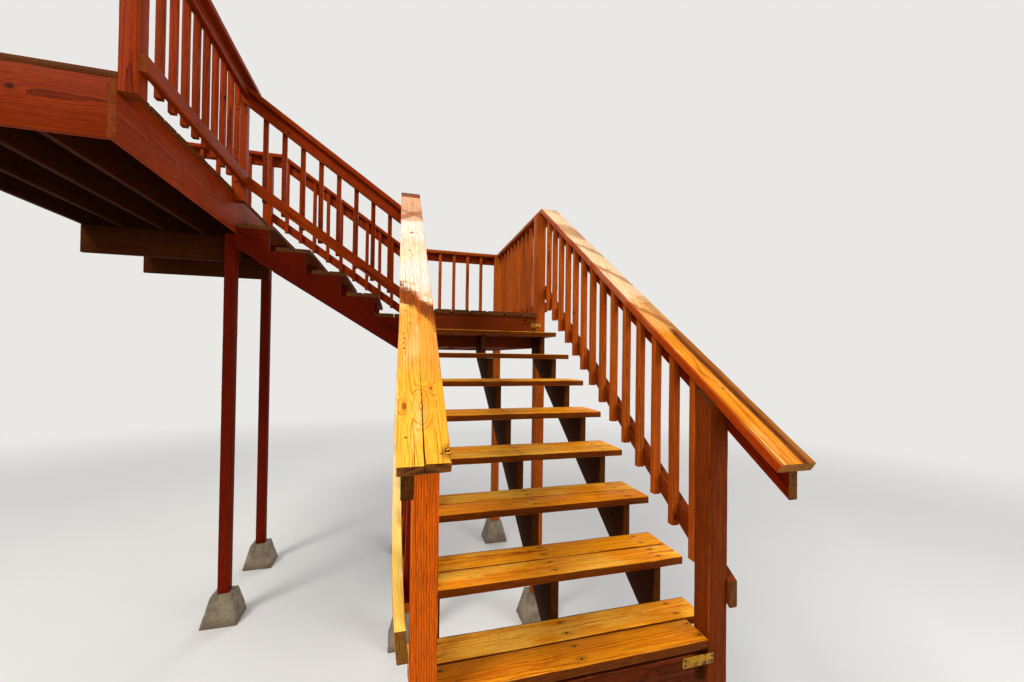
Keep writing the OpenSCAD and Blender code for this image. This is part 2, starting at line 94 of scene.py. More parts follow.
class Graph:
    def __init__(self, tree):
        self.tree = tree

    def add(self, kind, inputs=None, out=0, **settings):
        node = self.tree.nodes.new(kind)
        for name, value in settings.items():
            setattr(node, name, value)
        for name, value in (inputs or {}).items():
            if isinstance(value, Signal):
                self.tree.links.new(value.socket, node.inputs[name])
            else:
                node.inputs[name].default_value = value
        return Signal(self, node, node.outputs[out] if len(node.outputs) else None)

    def math(self, operation, *values):
        return self.add("ShaderNodeMath", dict(enumerate(values)), operation=operation)

    def vector(self, operation, *values, out=0):
        return self.add("ShaderNodeVectorMath", dict(enumerate(values)), out, operation=operation)

    def split(self, vector):
        parts = self.add("ShaderNodeSeparateXYZ", {0: vector})
        return [parts.out(name) for name in "XYZ"]

    def combine(self, *values):
        return self.add("ShaderNodeCombineXYZ", dict(enumerate(values)))

    def ease(self, value, low, high):
        return self.add("ShaderNodeMapRange", {"Value": value, "From Min": low, "From Max": high},
                        interpolation_type="SMOOTHSTEP")

    def noise(self, place, scale=1.0, detail=2.0, roughness=0.5, out=0):
        inputs = {"Vector": place, "Scale": scale, "Detail": detail, "Roughness": roughness}
        return self.add("ShaderNodeTexNoise", inputs, out)

    def blend(self, factor, a, b, mode="MIX"):
        return self.add("ShaderNodeMix", {0: factor, 6: a, 7: b}, 2, data_type="RGBA", blend_type=mode,
                        clamp_factor=True)

    def body(self):
        return self.add("ShaderNodeTexCoord").out("Object")

    def surface(self, colour, rough, height, strength, distance, constants):
        bump = self.add("ShaderNodeBump", {"Strength": strength, "Distance": distance, "Height": height})
        shader = self.add("ShaderNodeBsdfPrincipled", {
            "Base Color": colour, "Roughness": rough, "Normal": bump, **constants})
        self.add("ShaderNodeOutputMaterial", {"Surface": shader})


def shade(red, green, blue):
    # a colour as seen on screen, 0 to 255, as the shaders want it
    def lin(value):
        value = value / 255
        return value / 12.92 if value <= 0.04045 else ((value + 0.055) / 1.055) ** 2.4
    return (lin(red), lin(green), lin(blue), 1.0)


# Wood: growth rings round a pith beside each board, so that faces, edges and ends agree.
# Places on a board are along and across it from its low corner, in metres. A band has its axis, its
# two limits, a fade, a tilt across the board, a share and a colour. A knot has its place and radius,
# a swirl its place, size and height, and a hole its place, radius and stretch.

nailing = {"x": 0.514, "rows": (0.035, 0.105, 0.181, 0.251), "jitter": 0.004,
           "upper": (2.852, 3.4165, 3.981), "landing": (2.271, 2.87, 3.47, 4.070),
           "deck": (-2.088, -2.388, -2.688, -2.988, -3.270)}
plainWood = {"wornShare": 0.2, "roughness": 0.52, "ringGap": 0.0062, "lines": 0.85, "streaks": 0.6,
             "checks": 0.7, "gloss": 0.03, "waves": 1.0, "bands": [], "knots": [], "swirls": [],
             "holes": []}
# each wood's side colour, at its sideShare, is painted shade on upright faces and undersides
woods = {
    "orangeWood": {
        "early": (222, 102, 11), "late": (104, 31, 4), "vary": (192, 72, 7), "worn": (244, 144, 40),
        "end": (150, 94, 40), "knot": (50, 18, 5), "edge": (240, 140, 44), "wornShare": 0.1,
        "roughness": 0.5, "ringGap": 0.0076, "lines": 1.0, "streaks": 0.35, "checks": 0.5, "waves": 2.6},
    "rustWood": {
        "early": (188, 90, 20), "late": (86, 27, 5), "vary": (146, 56, 10), "worn": (214, 116, 36),
        "end": (136, 84, 38), "knot": (42, 14, 5), "edge": (224, 120, 38),
        "roughness": 0.5, "ringGap": 0.0064, "lines": 0.95, "streaks": 0.55, "waves": 1.4},
    "umberWood": {
        "early": (130, 54, 10), "late": (54, 16, 4), "vary": (94, 32, 6), "worn": (160, 80, 26),
        "end": (112, 66, 30), "knot": (30, 10, 4), "edge": (206, 100, 30),
        "ringGap": 0.0060, "lines": 0.95, "streaks": 0.5, "checks": 0.8, "waves": 1.4},
    # redWood is darker in part as painted shade of the upper flight and deck posts
    "redWood": {
        "early": (126, 30, 6), "late": (54, 9, 3), "vary": (92, 19, 4), "worn": (156, 60, 17),
        "end": (126, 78, 32), "knot": (30, 7, 3), "edge": (166, 62, 18), "wornShare": 0.15, "gloss": 0.02},
    "emberWood": {
        "early": (150, 52, 8), "late": (70, 18, 4), "vary": (110, 31, 5), "worn": (180, 88, 26),
        "end": (136, 62, 22), "knot": (36, 10, 3), "edge": (200, 92, 24), "gloss": 0.02},
    # brownWood's darkness is partly painted shade: the beams and joists under the deck take it
    "brownWood": {
        "early": (70, 32, 9), "late": (32, 12, 4), "vary": (50, 20, 5), "worn": (84, 44, 18),
        "end": (104, 58, 18), "knot": (20, 7, 3), "edge": (92, 44, 15), "wornShare": 0.1,
        "roughness": 0.62, "checks": 0.8, "gloss": 0.015},
    "treadWood": {
        "early": (255, 168, 26), "late": (168, 70, 5), "vary": (228, 112, 10), "worn": (255, 202, 76),
        "end": (156, 102, 46), "knot": (60, 26, 7), "edge": (240, 168, 64), "wornShare": 0.6,
        "roughness": 0.46, "ringGap": 0.0066, "lines": 0.9, "streaks": 0.55, "checks": 0.9, "waves": 1.5,
        "side": (70, 29, 5), "sideShare": 0.95, "nailed": True,
        # the dark strip along each board's edge beside the gap is painted shade between the boards
        "bands": [("across", 0.1335, 0.2, 0.002, 0.0, 0.95, (24, 9, 3))]},
    # plankWood is a darker tread wood, partly as painted shade on the boards above eye level
    "plankWood": {
        "early": (178, 98, 28), "late": (104, 46, 10), "vary": (142, 66, 14), "worn": (210, 152, 84),
        "end": (118, 72, 36), "knot": (42, 18, 6), "edge": (192, 122, 54), "wornShare": 0.4,
        "roughness": 0.58, "ringGap": 0.0060, "lines": 0.8, "checks": 0.9,
        "side": (66, 25, 6), "sideShare": 0.85},
    "capWood": {
        "early": (255, 168, 36), "late": (184, 86, 10), "vary": (228, 120, 18), "worn": (254, 206, 112),
        "end": (168, 112, 52), "knot": (64, 27, 7), "edge": (244, 162, 62), "wornShare": 0.45,
        "roughness": 0.5, "ringGap": 0.0064, "streaks": 0.55, "side": (140, 40, 7), "sideShare": 0.8,
        "bands": [("across", 0.097, 0.115, 0.018, 0.0, 1.0, (62, 26, 6)),
                  ("across", 0.124, 0.2, 0.014, 0.0, 0.75, (112, 52, 12)),
                  ("along", 0.98, 1.26, 0.16, 0.0, 0.6, (248, 190, 114)),
                  ("along", 1.30, 2.95, 0.20, 0.0, 0.9, (255, 226, 178)),
                  # the brown diagonal patches on the pale part are partly painted leaf shadow, partly
                  # weathering
                  ("along", 1.14, 1.17, 0.05, 1.6, 0.7, (150, 84, 34)),
                  ("along", 1.72, 1.76, 0.06, 1.9, 0.7, (158, 96, 46)),
                  ("along", 2.12, 2.15, 0.06, 1.5, 0.6, (150, 90, 44)),
                  ("along", 2.42, 2.60, 0.10, 1.2, 0.6, (176, 112, 58)),
                  ("across", -0.01, 0.007, 0.005, 0.0, 0.9, (150, 34, 5))],
        "holes": [(0.41, 0.066, 0.0034, 1.8)]},
    "bleachedWood": {
        "early": (238, 188, 72), "late": (192, 84, 13), "vary": (234, 166, 50), "worn": (246, 224, 154),
        "end": (140, 86, 38), "knot": (84, 42, 14), "edge": (222, 118, 32), "wornShare": 0.5,
        "roughness": 0.58, "ringGap": 0.0066, "lines": 0.9, "streaks": 0.4, "checks": 0.25,
        "side": (214, 118, 26), "sideShare": 0.7,
        "bands": [("across", 0.080, 0.2, 0.012, 0.0, 0.6, (232, 148, 44)),
                  ("along", -0.3, 0.25, 0.25, 0.0, 0.4, (246, 188, 40)),
                  ("along", 0.55, 0.9, 0.15, 0.9, 0.3, (214, 132, 58)),
                  ("along", 1.22, 2.22, 0.16, 0.7, 0.92, (243, 236, 217)),
                  ("along", 1.50, 1.66, 0.12, -0.6, 0.6, (246, 216, 160)),
                  # the dark diagonal patches here and at 2.22 and 2.44 are partly painted leaf shadow, partly
                  # wear
                  ("along", 1.05, 1.13, 0.08, 1.4, 1.0, (86, 42, 16)),
                  ("along", 1.09, 1.15, 0.06, 2.2, 0.8, (96, 46, 14)),
                  ("along", 2.20, 2.95, 0.07, 0.0, 0.85, (212, 174, 140)),
                  ("along", 2.22, 2.27, 0.06, -1.2, 0.8, (150, 100, 68)),
                  ("along", 2.44, 2.46, 0.06, 1.2, 0.6, (138, 92, 60)),
                  # the dark line at the top end is painted shade
                  ("along", 2.830, 2.95, 0.008, 0.0, 0.9, (44, 24, 12))],
        "knots": [(0.335, 0.108, 0.0035), (0.245, 0.021, 0.0060)],
        "swirls": [(0.245, 0.074, 0.020, 0.050), (0.245, 0.020, 0.014, 0.026),
                   (0.335, 0.110, 0.008, 0.012)],
        "holes": [(0.105, 0.025, 0.0028, 1.0), (0.302, 0.076, 0.0028, 1.0), (0.772, 0.042, 0.0032, 1.0),
                  (0.688, 0.018, 0.0018, 2.6), (0.652, 0.023, 0.0026, 1.6), (0.618, 0.019, 0.0014, 4.0),
                  (0.579, 0.022, 0.0030, 1.4), (0.553, 0.026, 0.0016, 2.2), (1.62, 0.050, 0.0026, 2.5),
                  (0.880, 0.028, 0.0034, 0.5), (0.046, 0.141, 0.0105, 1.3), (0.036, 0.124, 0.0045, 0.5)]},
    "paleWood": {
        "early": (255, 226, 108), "late": (228, 150, 46), "vary": (252, 200, 78), "worn": (255, 246, 206),
        "end": (146, 94, 38), "knot": (84, 46, 14), "edge": (240, 150, 48), "wornShare": 0.8,
        "roughness": 0.58, "ringGap": 0.0085, "lines": 0.6, "streaks": 0.4, "checks": 0.3,
        "side": (178, 84, 18), "sideShare": 0.8},
}
# riserWood is a darker umberWood for the riser under the first tread: painted shade
woods["riserWood"] = dict(woods["umberWood"], early=(98, 38, 7), late=(38, 12, 3), vary=(70, 24, 5))


def newMaterial(name, paint, *look):
    material = bpy.data.materials.new(name)
    material.use_nodes = True
    material.node_tree.nodes.clear()
    paint(Graph(material.node_tree), *look)
    return material


def paintWood(g, look):
    look = {**plainWood, **look}
    tint = {key: shade(*value) for key, value in look.items() if isinstance(value, tuple)}

    def read(attribute, out="Vector"):
        return g.add("ShaderNodeAttribute", attribute_name=attribute).out(out)

    grain = read("grain")
    ringAlong, ringWide, ringThick = g.split(read("ring"))
    lightness, hue, age = g.split(read("tone"))
    along, across = g.split(read("spot"))[:2]
    edge, crack, end = read("edge", "Fac"), read("crack", "Fac"), read("end", "Fac")
    facing = g.split(g.add("ShaderNodeNewGeometry").out("Normal"))[2]

    def drawn(lengthwise, crosswise, detail=2.0, roughness=0.5):
        # noise drawn out along the grain
        place = g.vector("MULTIPLY", grain, (lengthwise, crosswise, crosswise))
        return g.noise(place, 1.0, detail, roughness)

    def distance(alongAt, acrossAt, stretch=2.6):
        dx, dy = (along - alongAt) / stretch, across - acrossAt
        return g.math("SQRT", dx * dx + dy * dy)

    # knots: a few cells of a long lattice hold one, and the rings bend round it
    lattice = g.vector("MULTIPLY", grain, (2.6, 7.5, 4))
    cell = g.add("ShaderNodeTexVoronoi", {"Vector": lattice, "Scale": 1.0, "Randomness": 0.8})
    away = g.vector("DIVIDE", g.vector("SUBTRACT", lattice, cell.out("Position")), (3.4, 7.5, 16))
    pick, size = g.split(cell.out("Color"))[:2]
    ratio = g.vector("LENGTH", away, out="Value") / (size * 0.009 + 0.004)
    ratio = ratio + g.math("LESS_THAN", pick, 0.66) * 40
    for alongAt, acrossAt, radius in look["knots"]:
        ratio = g.math("MINIMUM", ratio, distance(alongAt, acrossAt) / radius)
    knot = g.ease(ratio, 1.15, 0.8)
    rim = g.ease(ratio, 1.5, 1.15) - knot
    swell = g.math("EXPONENT", ratio * -0.42) * 0.016
    stir = swell * 0
    for alongAt, acrossAt, size, height in look["swirls"]:
        reach = distance(alongAt, acrossAt, 3.8) / size
        near = g.math("EXPONENT", reach * reach * -1.0)
        swell = swell + near * height
        stir = g.math("MAXIMUM", stir, near)

    # rings, wavy along the board, with broken dark late wood
    slow = drawn(1.1, 5)
    dw = ringWide + (slow - 0.5) * 0.034
    radius = g.math("SQRT", dw * dw + ringThick * ringThick)
    waves = (drawn(7, 30) - 0.5) * 0.0030 + (drawn(30, 90, 1.0) - 0.5) * 0.0018
    radius = radius + ringAlong * 0.008 + swell + waves * look["waves"]
    rings = radius / look["ringGap"]
    phase = g.math("FRACT", rings)
    year = g.noise(g.combine(g.math("FLOOR", rings) * 3.7, 0.5, 0.5), 1.0, 0.0)
    late = g.ease(phase, 0.35, 0.86) - g.ease(phase, 0.9, 1.0)
    late = late * (year * 1.3 + 0.1) * (g.ease(drawn(16, 170), 0.34, 0.62) * 0.6 + 0.55) * (stir * 1.2 + 1.0)

    # fibres, streaks, hairline checks and the gaping rays of an end, all long and narrow
    fibre, fleck = drawn(13, 330, 3.0, 0.65), drawn(46, 420, 2.0, 0.6)
    streak, patch = drawn(0.9, 55, 3.0, 0.6), drawn(2.2, 9, 4.0, 0.6)
    ray = g.noise(g.combine(g.math("ARCTAN2", ringThick, dw) * 11, radius * 9, 0.5))
    hair = g.ease(g.math("ABSOLUTE", drawn(1.6, 75, 1.0) - 0.5), 0.010, 0.0) * g.ease(patch, 0.52, 0.62)
    hair = hair * look["checks"] * (1.0 - end)
    hair = g.math("MAXIMUM", hair, g.ease(g.math("ABSOLUTE", ray - 0.5), 0.02, 0.0) * end)
    body = g.body()
    blotch, mottle = g.noise(body, 3.1, 3.0, 0.6), g.noise(body, 17.0, 4.0, 0.62)

    # holes have ragged sides and a stain around them, and nails a stain
    hole, stain = crack * 0, crack * 0
    for alongAt, acrossAt, size, stretch in look["holes"]:
        reach = distance(alongAt, acrossAt, stretch) / size + (mottle - 0.5) * 1.2 + (fleck - 0.5) * 0.8
        hole = g.math("MAXIMUM", hole, g.ease(reach, 1.15, 0.7))
        stain = g.math("MAXIMUM", stain, g.ease(reach, 2.6, 0.9))
    if "nailed" in look:
        x, y = g.split(g.vector("SUBTRACT", body, tuple(drawing)))[:2]
        x = g.math("ABSOLUTE", x)
        x = g.math("MINIMUM", x, g.math("ABSOLUTE", x - nailing["x"])) / 2.2
        y = g.math("FRACT", y / plan["run"] + 1.0) * plan["run"]
        off = 1.0
        for row in nailing["rows"]:
            off = g.math("MINIMUM", g.math("ABSOLUTE", y - row), off)
        away = g.math("SQRT", x * x + off * off)
        stain = g.ease(away + (mottle - 0.5) * 0.012, 0.015, 0.006) * facing
    # the insides of cracks and holes are painted near black: painted shade in the recess, with some dirt
    crack = g.math("MAXIMUM", crack, hole)

    # colour: stain over rings, then wear, bands, knots, ends and cracks
    share = look["wornShare"] * 0.35
    worn = g.ease(patch + blotch * 0.5 + age * 0.35, 1.06 - share, 1.34 - share)
    worn = worn * (g.ease(facing, 0.35, 0.8) * 0.8 + 0.2)
    layers = [(late * (stir * 0.4 + look["lines"]), tint["late"]),
              (g.ease(streak, 0.44, 0.72) * look["streaks"], tint["vary"]),
              (hue * 0.35, tint["vary"]),
              (worn * 0.8, g.blend(late * 0.7, tint["worn"], tint["vary"]))]
    # upright faces and undersides take the darker side colour: painted shade, partly the sun bleaching that
    # only the tops get
    if "side" in look:
        upright = g.ease(facing, 0.6, 0.2) * look["sideShare"]
        layers.append((upright, g.blend(late * 0.6, tint["side"], tint["knot"])))
    places = {"along": along, "across": across}
    wave = {"along": (blotch - 0.5) * 3.0 + (mottle - 0.5) * 2.4 + (fibre - 0.5) * 1.2,
            "across": (slow - 0.5) * 2.0 + (streak - 0.5) * 1.6 + (fibre - 0.5) * 0.8}
    for axis, low, high, fade, tilt, amount, bandColour in look["bands"]:
        place = places[axis] + wave[axis] * fade
        if tilt:
            place = place + across * tilt
        inside = g.ease(place, low - fade, low) * g.ease(place, high + fade, high)
        lined = g.blend(late * (stir * 0.6 + 0.36), shade(*bandColour), tint["late"])
        layers.append((inside * (patch * 0.5 + 0.75) * amount, lined))
    knotColour = g.blend(g.math("FRACT", ratio * 2.6) * 0.5, tint["knot"], tint["late"])
    endColour = g.blend(late * 0.9 + (fleck - 0.5) * 0.5, tint["end"], tint["knot"])
    layers += [(edge * g.ease(blotch, 0.4, 0.6) * 0.6, tint["edge"]),
               (rim * 0.6, tint["late"]),
               (knot * 0.9, knotColour),
               (end, endColour),
               (g.ease(fibre, 0.58, 0.34) * 0.4, g.blend(end, tint["late"], tint["knot"])),
               (g.ease(fleck, 0.56, 0.74) * 0.35, tint["late"]),
               (hair * 0.8, tint["knot"]),
               (stain * 0.36, tint["knot"]),
               (crack * 0.92, (0.012, 0.006, 0.003, 1))]
    colour = tint["early"]
    for factor, layer in layers:
        colour = g.blend(factor, colour, layer)
    bright = lightness * 0.3 + (blotch - 0.5) * 0.35 + (mottle - 0.5) * 0.2 + 0.88
    colour = g.blend(1.0, colour, g.combine(bright, bright, bright), "MULTIPLY")
    rough = worn * 0.2 + (fibre - 0.5) * 0.3 + end * 0.25 + look["roughness"]
    height = late * 0.4 + fibre * 0.6 - hair * 0.9 - rim * 0.6 - knot * 0.25 - crack * 0.5 + patch * 0.5
    g.surface(colour, rough, height, 0.6, 0.0018, {"Specular IOR Level": look["gloss"]})


# Metal and concrete read the object's own place

def paintZinc(g):
    body = g.body()
    cloud, fine = g.noise(body, 38.0, 4.0, 0.6), g.noise(body, 420.0, 3.0, 0.7)
    scratch = g.noise(g.vector("MULTIPLY", body, (30, 30, 900)))
    tarnish = g.ease(cloud, 0.42, 0.68)
    colour = g.blend(tarnish, shade(172, 122, 20), shade(104, 66, 13))
    colour = g.blend(g.ease(cloud, 0.56, 0.68) * 0.8, colour, shade(74, 44, 16))
    colour = g.blend(g.ease(fine, 0.62, 0.8) * 0.35, colour, shade(214, 180, 96))
    rough = tarnish * 0.22 + (fine - 0.5) * 0.2 + 0.36
    height = cloud * 0.4 + fine * 0.3 + scratch * 0.4
    g.surface(colour, rough, height, 0.25, 0.0006, {"Metallic": 0.75})


def paintSteel(g):
    body = g.body()
    cloud, fine = g.noise(body, 90.0, 3.0, 0.6), g.noise(body, 900.0, 3.0, 0.7)
    colour = g.blend(g.ease(cloud, 0.4, 0.62), shade(52, 40, 34), shade(92, 50, 28))
    colour = g.blend(g.ease(fine, 0.6, 0.8) * 0.4, colour, shade(120, 108, 98))
    g.surface(colour, cloud * 0.3 + 0.4, fine, 0.4, 0.0004, {"Metallic": 0.55})


def paintConcrete(g):
    body = g.body()
    cloud, sand = g.noise(body, 9.0, 5.0, 0.6), g.noise(body, 260.0, 3.0, 0.7)
    stones = g.add("ShaderNodeTexVoronoi", {"Vector": body, "Scale": 85.0})
    pits = g.ease(g.noise(body, 62.0), 0.36, 0.3)
    damp = g.ease(g.split(body)[2] + (cloud - 0.5) * 0.12, 0.075, 0.01)
    colour = g.blend(g.ease(cloud, 0.35, 0.68), shade(142, 126, 102), shade(100, 84, 64))
    colour = g.blend(g.ease(sand, 0.5, 0.72) * 0.5, colour, shade(184, 172, 152))
    colour = g.blend(g.ease(stones, 0.3, 0.12) * 0.35, colour, shade(90, 82, 72))
    colour = g.blend(damp * 0.55, colour, shade(92, 74, 54))
    colour = g.blend(pits * 0.6, colour, shade(66, 56, 46))
    height = sand * 0.35 + cloud * 0.5 - pits * 0.8
    g.surface(colour, sand * 0.2 + 0.74, height, 0.6, 0.003, {})


finish = {name: newMaterial(name, paintWood, look) for name, look in woods.items()}
finish["zinc"] = newMaterial("yellowZinc", paintZinc)
finish["steel"] = newMaterial("darkSteel", paintSteel)
finish["concrete"] = newMaterial("castConcrete", paintConcrete)
print("stairs: finishes made")


# Meshes: attributes, copies of the frame's solids and finished pieces

def store(mesh, name, values, domain="POINT"):
    # values are all vectors or all numbers
    if isinstance(values[0], (tuple, Vector)):
        flat = [part for value in values for part in value]
        mesh.attributes.new(name, "FLOAT_VECTOR", domain).data.foreach_set("vector", flat)
    else:
        mesh.attributes.new(name, "FLOAT", domain).data.foreach_set("value", values)


def solidOf(node, whole=True):
    # a copy of the node's solids without doubles, and with whole faces for triangles
    shape = bmesh.new()
    shape.from_mesh(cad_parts[node].data)
    bmesh.ops.remove_doubles(shape, verts=shape.verts, dist=1e-5)
    if whole:
        bmesh.ops.dissolve_limit(shape, angle_limit=0.01, verts=shape.verts, edges=shape.edges)
    return shape


def soften(shape, edges, offset, segments):
    bmesh.ops.bevel(shape, geom=edges, offset=offset, segments=segments, profile=0.5, affect="EDGES")


def meshOf(shape, name):
    mesh = bpy.data.meshes.new(name)
    shape.to_mesh(mesh)
    shape.free()
    return mesh


def keepPiece(name, mesh, material, node=None):
    mesh.shade_smooth()
    mesh.set_sharp_from_angle(angle=math.radians(50))
    mesh.materials.clear()
    mesh.materials.append(finish[material])
    piece = newObject(name, mesh)
    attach(piece, "root")
    if node:
        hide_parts(node)


# Boards: each is swept along its grain from a rounded section, with its end cuts, and
# carries where it is in the tree, its tone, its worn corners and its cracks

sawn = {"inset": 0.0004, "corner": 0.003, "wander": 0.0009, "step": 0.09}


def randomShift(draw):
    return Vector((draw.uniform(-40, 40), draw.uniform(-9, 9), draw.uniform(-9, 9)))


class Pile:
    def __init__(self, name):
        self.name = name
        self.draw = random.Random(name)
        self.points, self.faces, self.ends = [], [], []
        self.marks = {mark: [] for mark in ("grain", "ring", "tone", "spot", "edge", "crack")}

    def board(self, start, length, wide, thick, cuts, cracks=(), step=sawn["step"], corner=sawn["corner"],
              wander=sawn["wander"], pith=None, damage=None, bow=None, jog=None):
        # start is a corner; length, wide and thick are (unit direction, size); cuts are the four
        # corners' places along the grain at each end; bow moves the point at a place along the board
        (l, size), (w, wSize), (t, tSize) = length, wide, thick
        draw, inset = self.draw, sawn["inset"]
        shift = randomShift(draw)
        pith = pith or (wSize * draw.uniform(0.1, 0.9), -tSize * draw.uniform(0.4, 2.6) - 0.01)
        tone = (draw.random(), draw.random(), draw.random())
        flip = draw.choice((-1, 1))
        seed = draw.uniform(0, 90)
        count = max(4, math.ceil(size / step) + 1)
        base = len(self.points)

        def cutAt(values, a, b):
            a, b = min(1, max(0, a / wSize)), min(1, max(0, b / tSize))
            low = values[0] * (1 - a) + values[1] * a
            high = values[3] * (1 - a) + values[2] * a
            return low * (1 - b) + high * b

        for i in range(count):
            f = i / (count - 1)
            s = f * size
            fade = min(1, f * 8, (1 - f) * 8)
            dw = wander * noise.noise((s * 2.1 + seed, 0.3, 1.7)) * fade
            dt = wander * noise.noise((s * 1.7 + seed, 5.3, 2.9)) * fade
            section = self.section(wSize, tSize, s, corner, seed, cracks, damage)
            for a, b, edge, crack in section:
                a = inset + a * (1 - 2 * inset / wSize)
                b = inset + b * (1 - 2 * inset / tSize)
                low = cutAt(cuts[0], a, b) + inset
                high = cutAt(cuts[1], a, b) - inset
                place = low + (high - low) * f
                if jog and a < jog["at"]:
                    place -= jog["size"] * (1 - f) ** 40
                moved = bow(place) if bow else Vector()
                self.points.append(start + l * place + w * (a + dw) + t * (b + dt) + moved)
                for mark, value in (("grain", (place * flip + shift.x, a + shift.y, b + shift.z)),
                                    ("ring", (place * flip, a - pith[0], b - pith[1])), ("tone", tone),
                                    ("spot", (place, a, b)), ("edge", edge), ("crack", crack)):
                    self.marks[mark].append(value)
        width, faces = len(section), []
        last = base + (count - 1) * width
        for here in range(base, last, width):
            for j in range(width):
                k, there = (j + 1) % width, here + width
                faces.append((here + j, here + k, there + k, there + j))
        self.ends += [0.0] * len(faces) + [1.0, 1.0]
        faces += [tuple(range(base, base + width))[::-1], tuple(range(last, last + width))]
        handed = w.cross(t).dot(l) > 0
        self.faces += faces if handed else [face[::-1] for face in faces]

    def section(self, wSize, tSize, s, corner, seed, cracks, damage):
        # goes round from the low corner; each point has its wear and its crack
        points = []
        corners = [(0, 0, 180), (1, 0, 270), (1, 1, 0), (0, 1, 90)]
        for number, (a, b, turn) in enumerate(corners):
            r = corner * (1 + 0.75 * noise.noise((s * 9 + seed, number * 7.7, 3.1)))
            lost = damage(number, s) if damage else 0.0
            r = min(max(r + lost, 0.0008), tSize * 0.42)
            ca, cb = (wSize - r if a else r), (tSize - r if b else r)
            for k in range(3):
                angle = math.radians(turn + k * 45)
                worn = 1.0 if k == 1 else 0.0
                # a broken hole is marked as crack, so it is painted near black: painted shade
                points.append((ca + r * math.cos(angle), cb + r * math.sin(angle), worn, min(1.0, lost * 25)))
            if number == 2:      # the top face, walked from its far side back
                for crack in sorted(cracks, key=lambda c: -c["at"]):
                    f = (s - crack["from"]) / (crack["to"] - crack["from"])
                    grow = max(0, 4 * f * (1 - f) if crack.get("closes") else min(1, f))
                    c = crack["at"] + crack["sway"] * noise.noise((s * 3.1 + crack["at"] * 50, 1.1, 0.4))
                    c = c + crack["sway"] * 0.3 * noise.noise((s * 17 + crack["at"] * 50, 4.1, 0.4))
                    h = 0.00012 + crack["width"] * 0.5 * grow
                    floor = tSize - 0.0002 - crack["deep"] * grow
                    # the crack's floor is marked dark for the painted shade inside it
                    dark = min(1, grow * 4)
                    points += [(c + h, tSize, 0.0, 0.0), (c + h * 0.25, floor, 0.0, dark),
                               (c - h * 0.25, floor, 0.0, dark), (c - h, tSize, 0.0, 0.0)]
        return points

    def finish(self, material, node):
        mesh = bpy.data.meshes.new(self.name)
        mesh.from_pydata([tuple(p) for p in self.points], [], self.faces)
        mesh.update()
        for mark, values in self.marks.items():
            store(mesh, mark, values)
        store(mesh, "end", self.ends, "FACE")
        keepPiece(self.name, mesh, material, node)


# What the frame says about a node's straight boards: eight corners give grain, sides and end cuts

def rounded(place):
    return tuple(round(part, 4) for part in place)


def solidsOf(node):
    shape = solidOf(node, whole=False)
    left, solids = set(shape.verts), []
    while left:
        found, queue = set(), [next(iter(left))]
        while queue:
            corner = queue.pop()
            if corner not in found:
                found.add(corner)
                queue += [edge.other_vert(corner) for edge in corner.link_edges]
        left -= found
        solids.append(sorted((c.co.copy() for c in found), key=rounded))
    shape.free()
    return sorted(solids, key=lambda s: rounded(sum(s, Vector()) / len(s)))


def readBoard(corners):
    pairs = [b - a for i, a in enumerate(corners) for b in corners[i + 1:]]

    def alike(pair):
        return sum(p.cross(pair).length < 1e-4 * p.length * pair.length for p in pairs)

    l = next(p for p in sorted(pairs, key=lambda p: -p.length) if alike(p) >= 4).normalized()
    l = -l if sum(l) < 0 else l
    flat = [c - l * c.dot(l) for c in corners]
    start, others = flat[0], []
    for p in flat[1:]:
        if (p - start).length > 1e-4 and all((p - q).length > 1e-4 for q in others):
            others.append(p)
    others.sort(key=lambda p: (p - start).length)
    thick, wide = others[0] - start, others[1] - start
    if thick.normalized().z < -0.3:      # boards lie on their low face
        start, thick = start + thick, -thick
    w, t, places = wide.normalized(), thick.normalized(), {}
    for c in corners:
        key = (round((c - start).dot(w) / wide.length), round((c - start).dot(t) / thick.length))
        places.setdefault(key, []).append(c.dot(l))
    ends = [places[key] for key in ((0, 0), (1, 0), (1, 1), (0, 1))]
    zero = min(map(min, ends))
    cuts = ([min(end) - zero for end in ends], [max(end) - zero for end in ends])
    base = start - l * start.dot(l) + l * zero
    return base, (l, max(cuts[1])), (w, wide.length), (t, thick.length), cuts


def layBoards(node, *materials, cracksFor=None, **ways):
    # the boards take the materials in turn, in order of x, then y; each material is a piece
    piles = {material: Pile(node + material[0].upper() + material[1:]) for material in materials}
    for number, corners in enumerate(solidsOf(node)):
        pile = piles[materials[number % len(materials)]]
        start, length, wide, thick, cuts = readBoard(corners)
        cracks = cracksFor(pile.draw, length[1], wide[1]) if cracksFor else ()
        pile.board(start, length, wide, thick, cuts, cracks, **ways)
    for material, pile in piles.items():
        pile.finish(material, node)


checking = {"share": 0.8, "counts": (1, 2, 2, 3), "reach": (0.12, 0.5), "width": (0.0008, 0.002),
            "deep": (0.003, 0.008), "sway": 0.004, "apart": 0.018}


def fewCracks(draw, length, wide):
    cracks = []
    for _ in range(draw.choice(checking["counts"])):
        reach = draw.uniform(*checking["reach"]) * length
        begin = draw.uniform(0, length - reach)
        cracks.append({"at": wide * draw.uniform(0.15, 0.85), "from": begin, "to": begin + reach,
                       "width": draw.uniform(*checking["width"]), "deep": draw.uniform(*checking["deep"]),
                       "sway": checking["sway"], "closes": True})
    kept = []
    for crack in sorted(cracks, key=lambda c: c["at"]):     # cracks too near each other would cross
        if not kept or crack["at"] - kept[-1]["at"] > checking["apart"]:
            kept.append(crack)
    return kept


def treadCracks(draw, length, wide):
    return fewCracks(draw, length, wide) if draw.random() < checking["share"] else ()


# Steps, posts, decks and stringers

for k in range(1, 9):
    layBoards(f"lower_tread_{k}", "treadWood", cracksFor=treadCracks, step=0.05, corner=0.004, wander=0.0018)
for k in range(1, 5):
    layBoards(f"upper_tread_{k}", "plankWood", cracksFor=treadCracks, corner=0.004, wander=0.0014)
layBoards("bottom_riser", "riserWood")
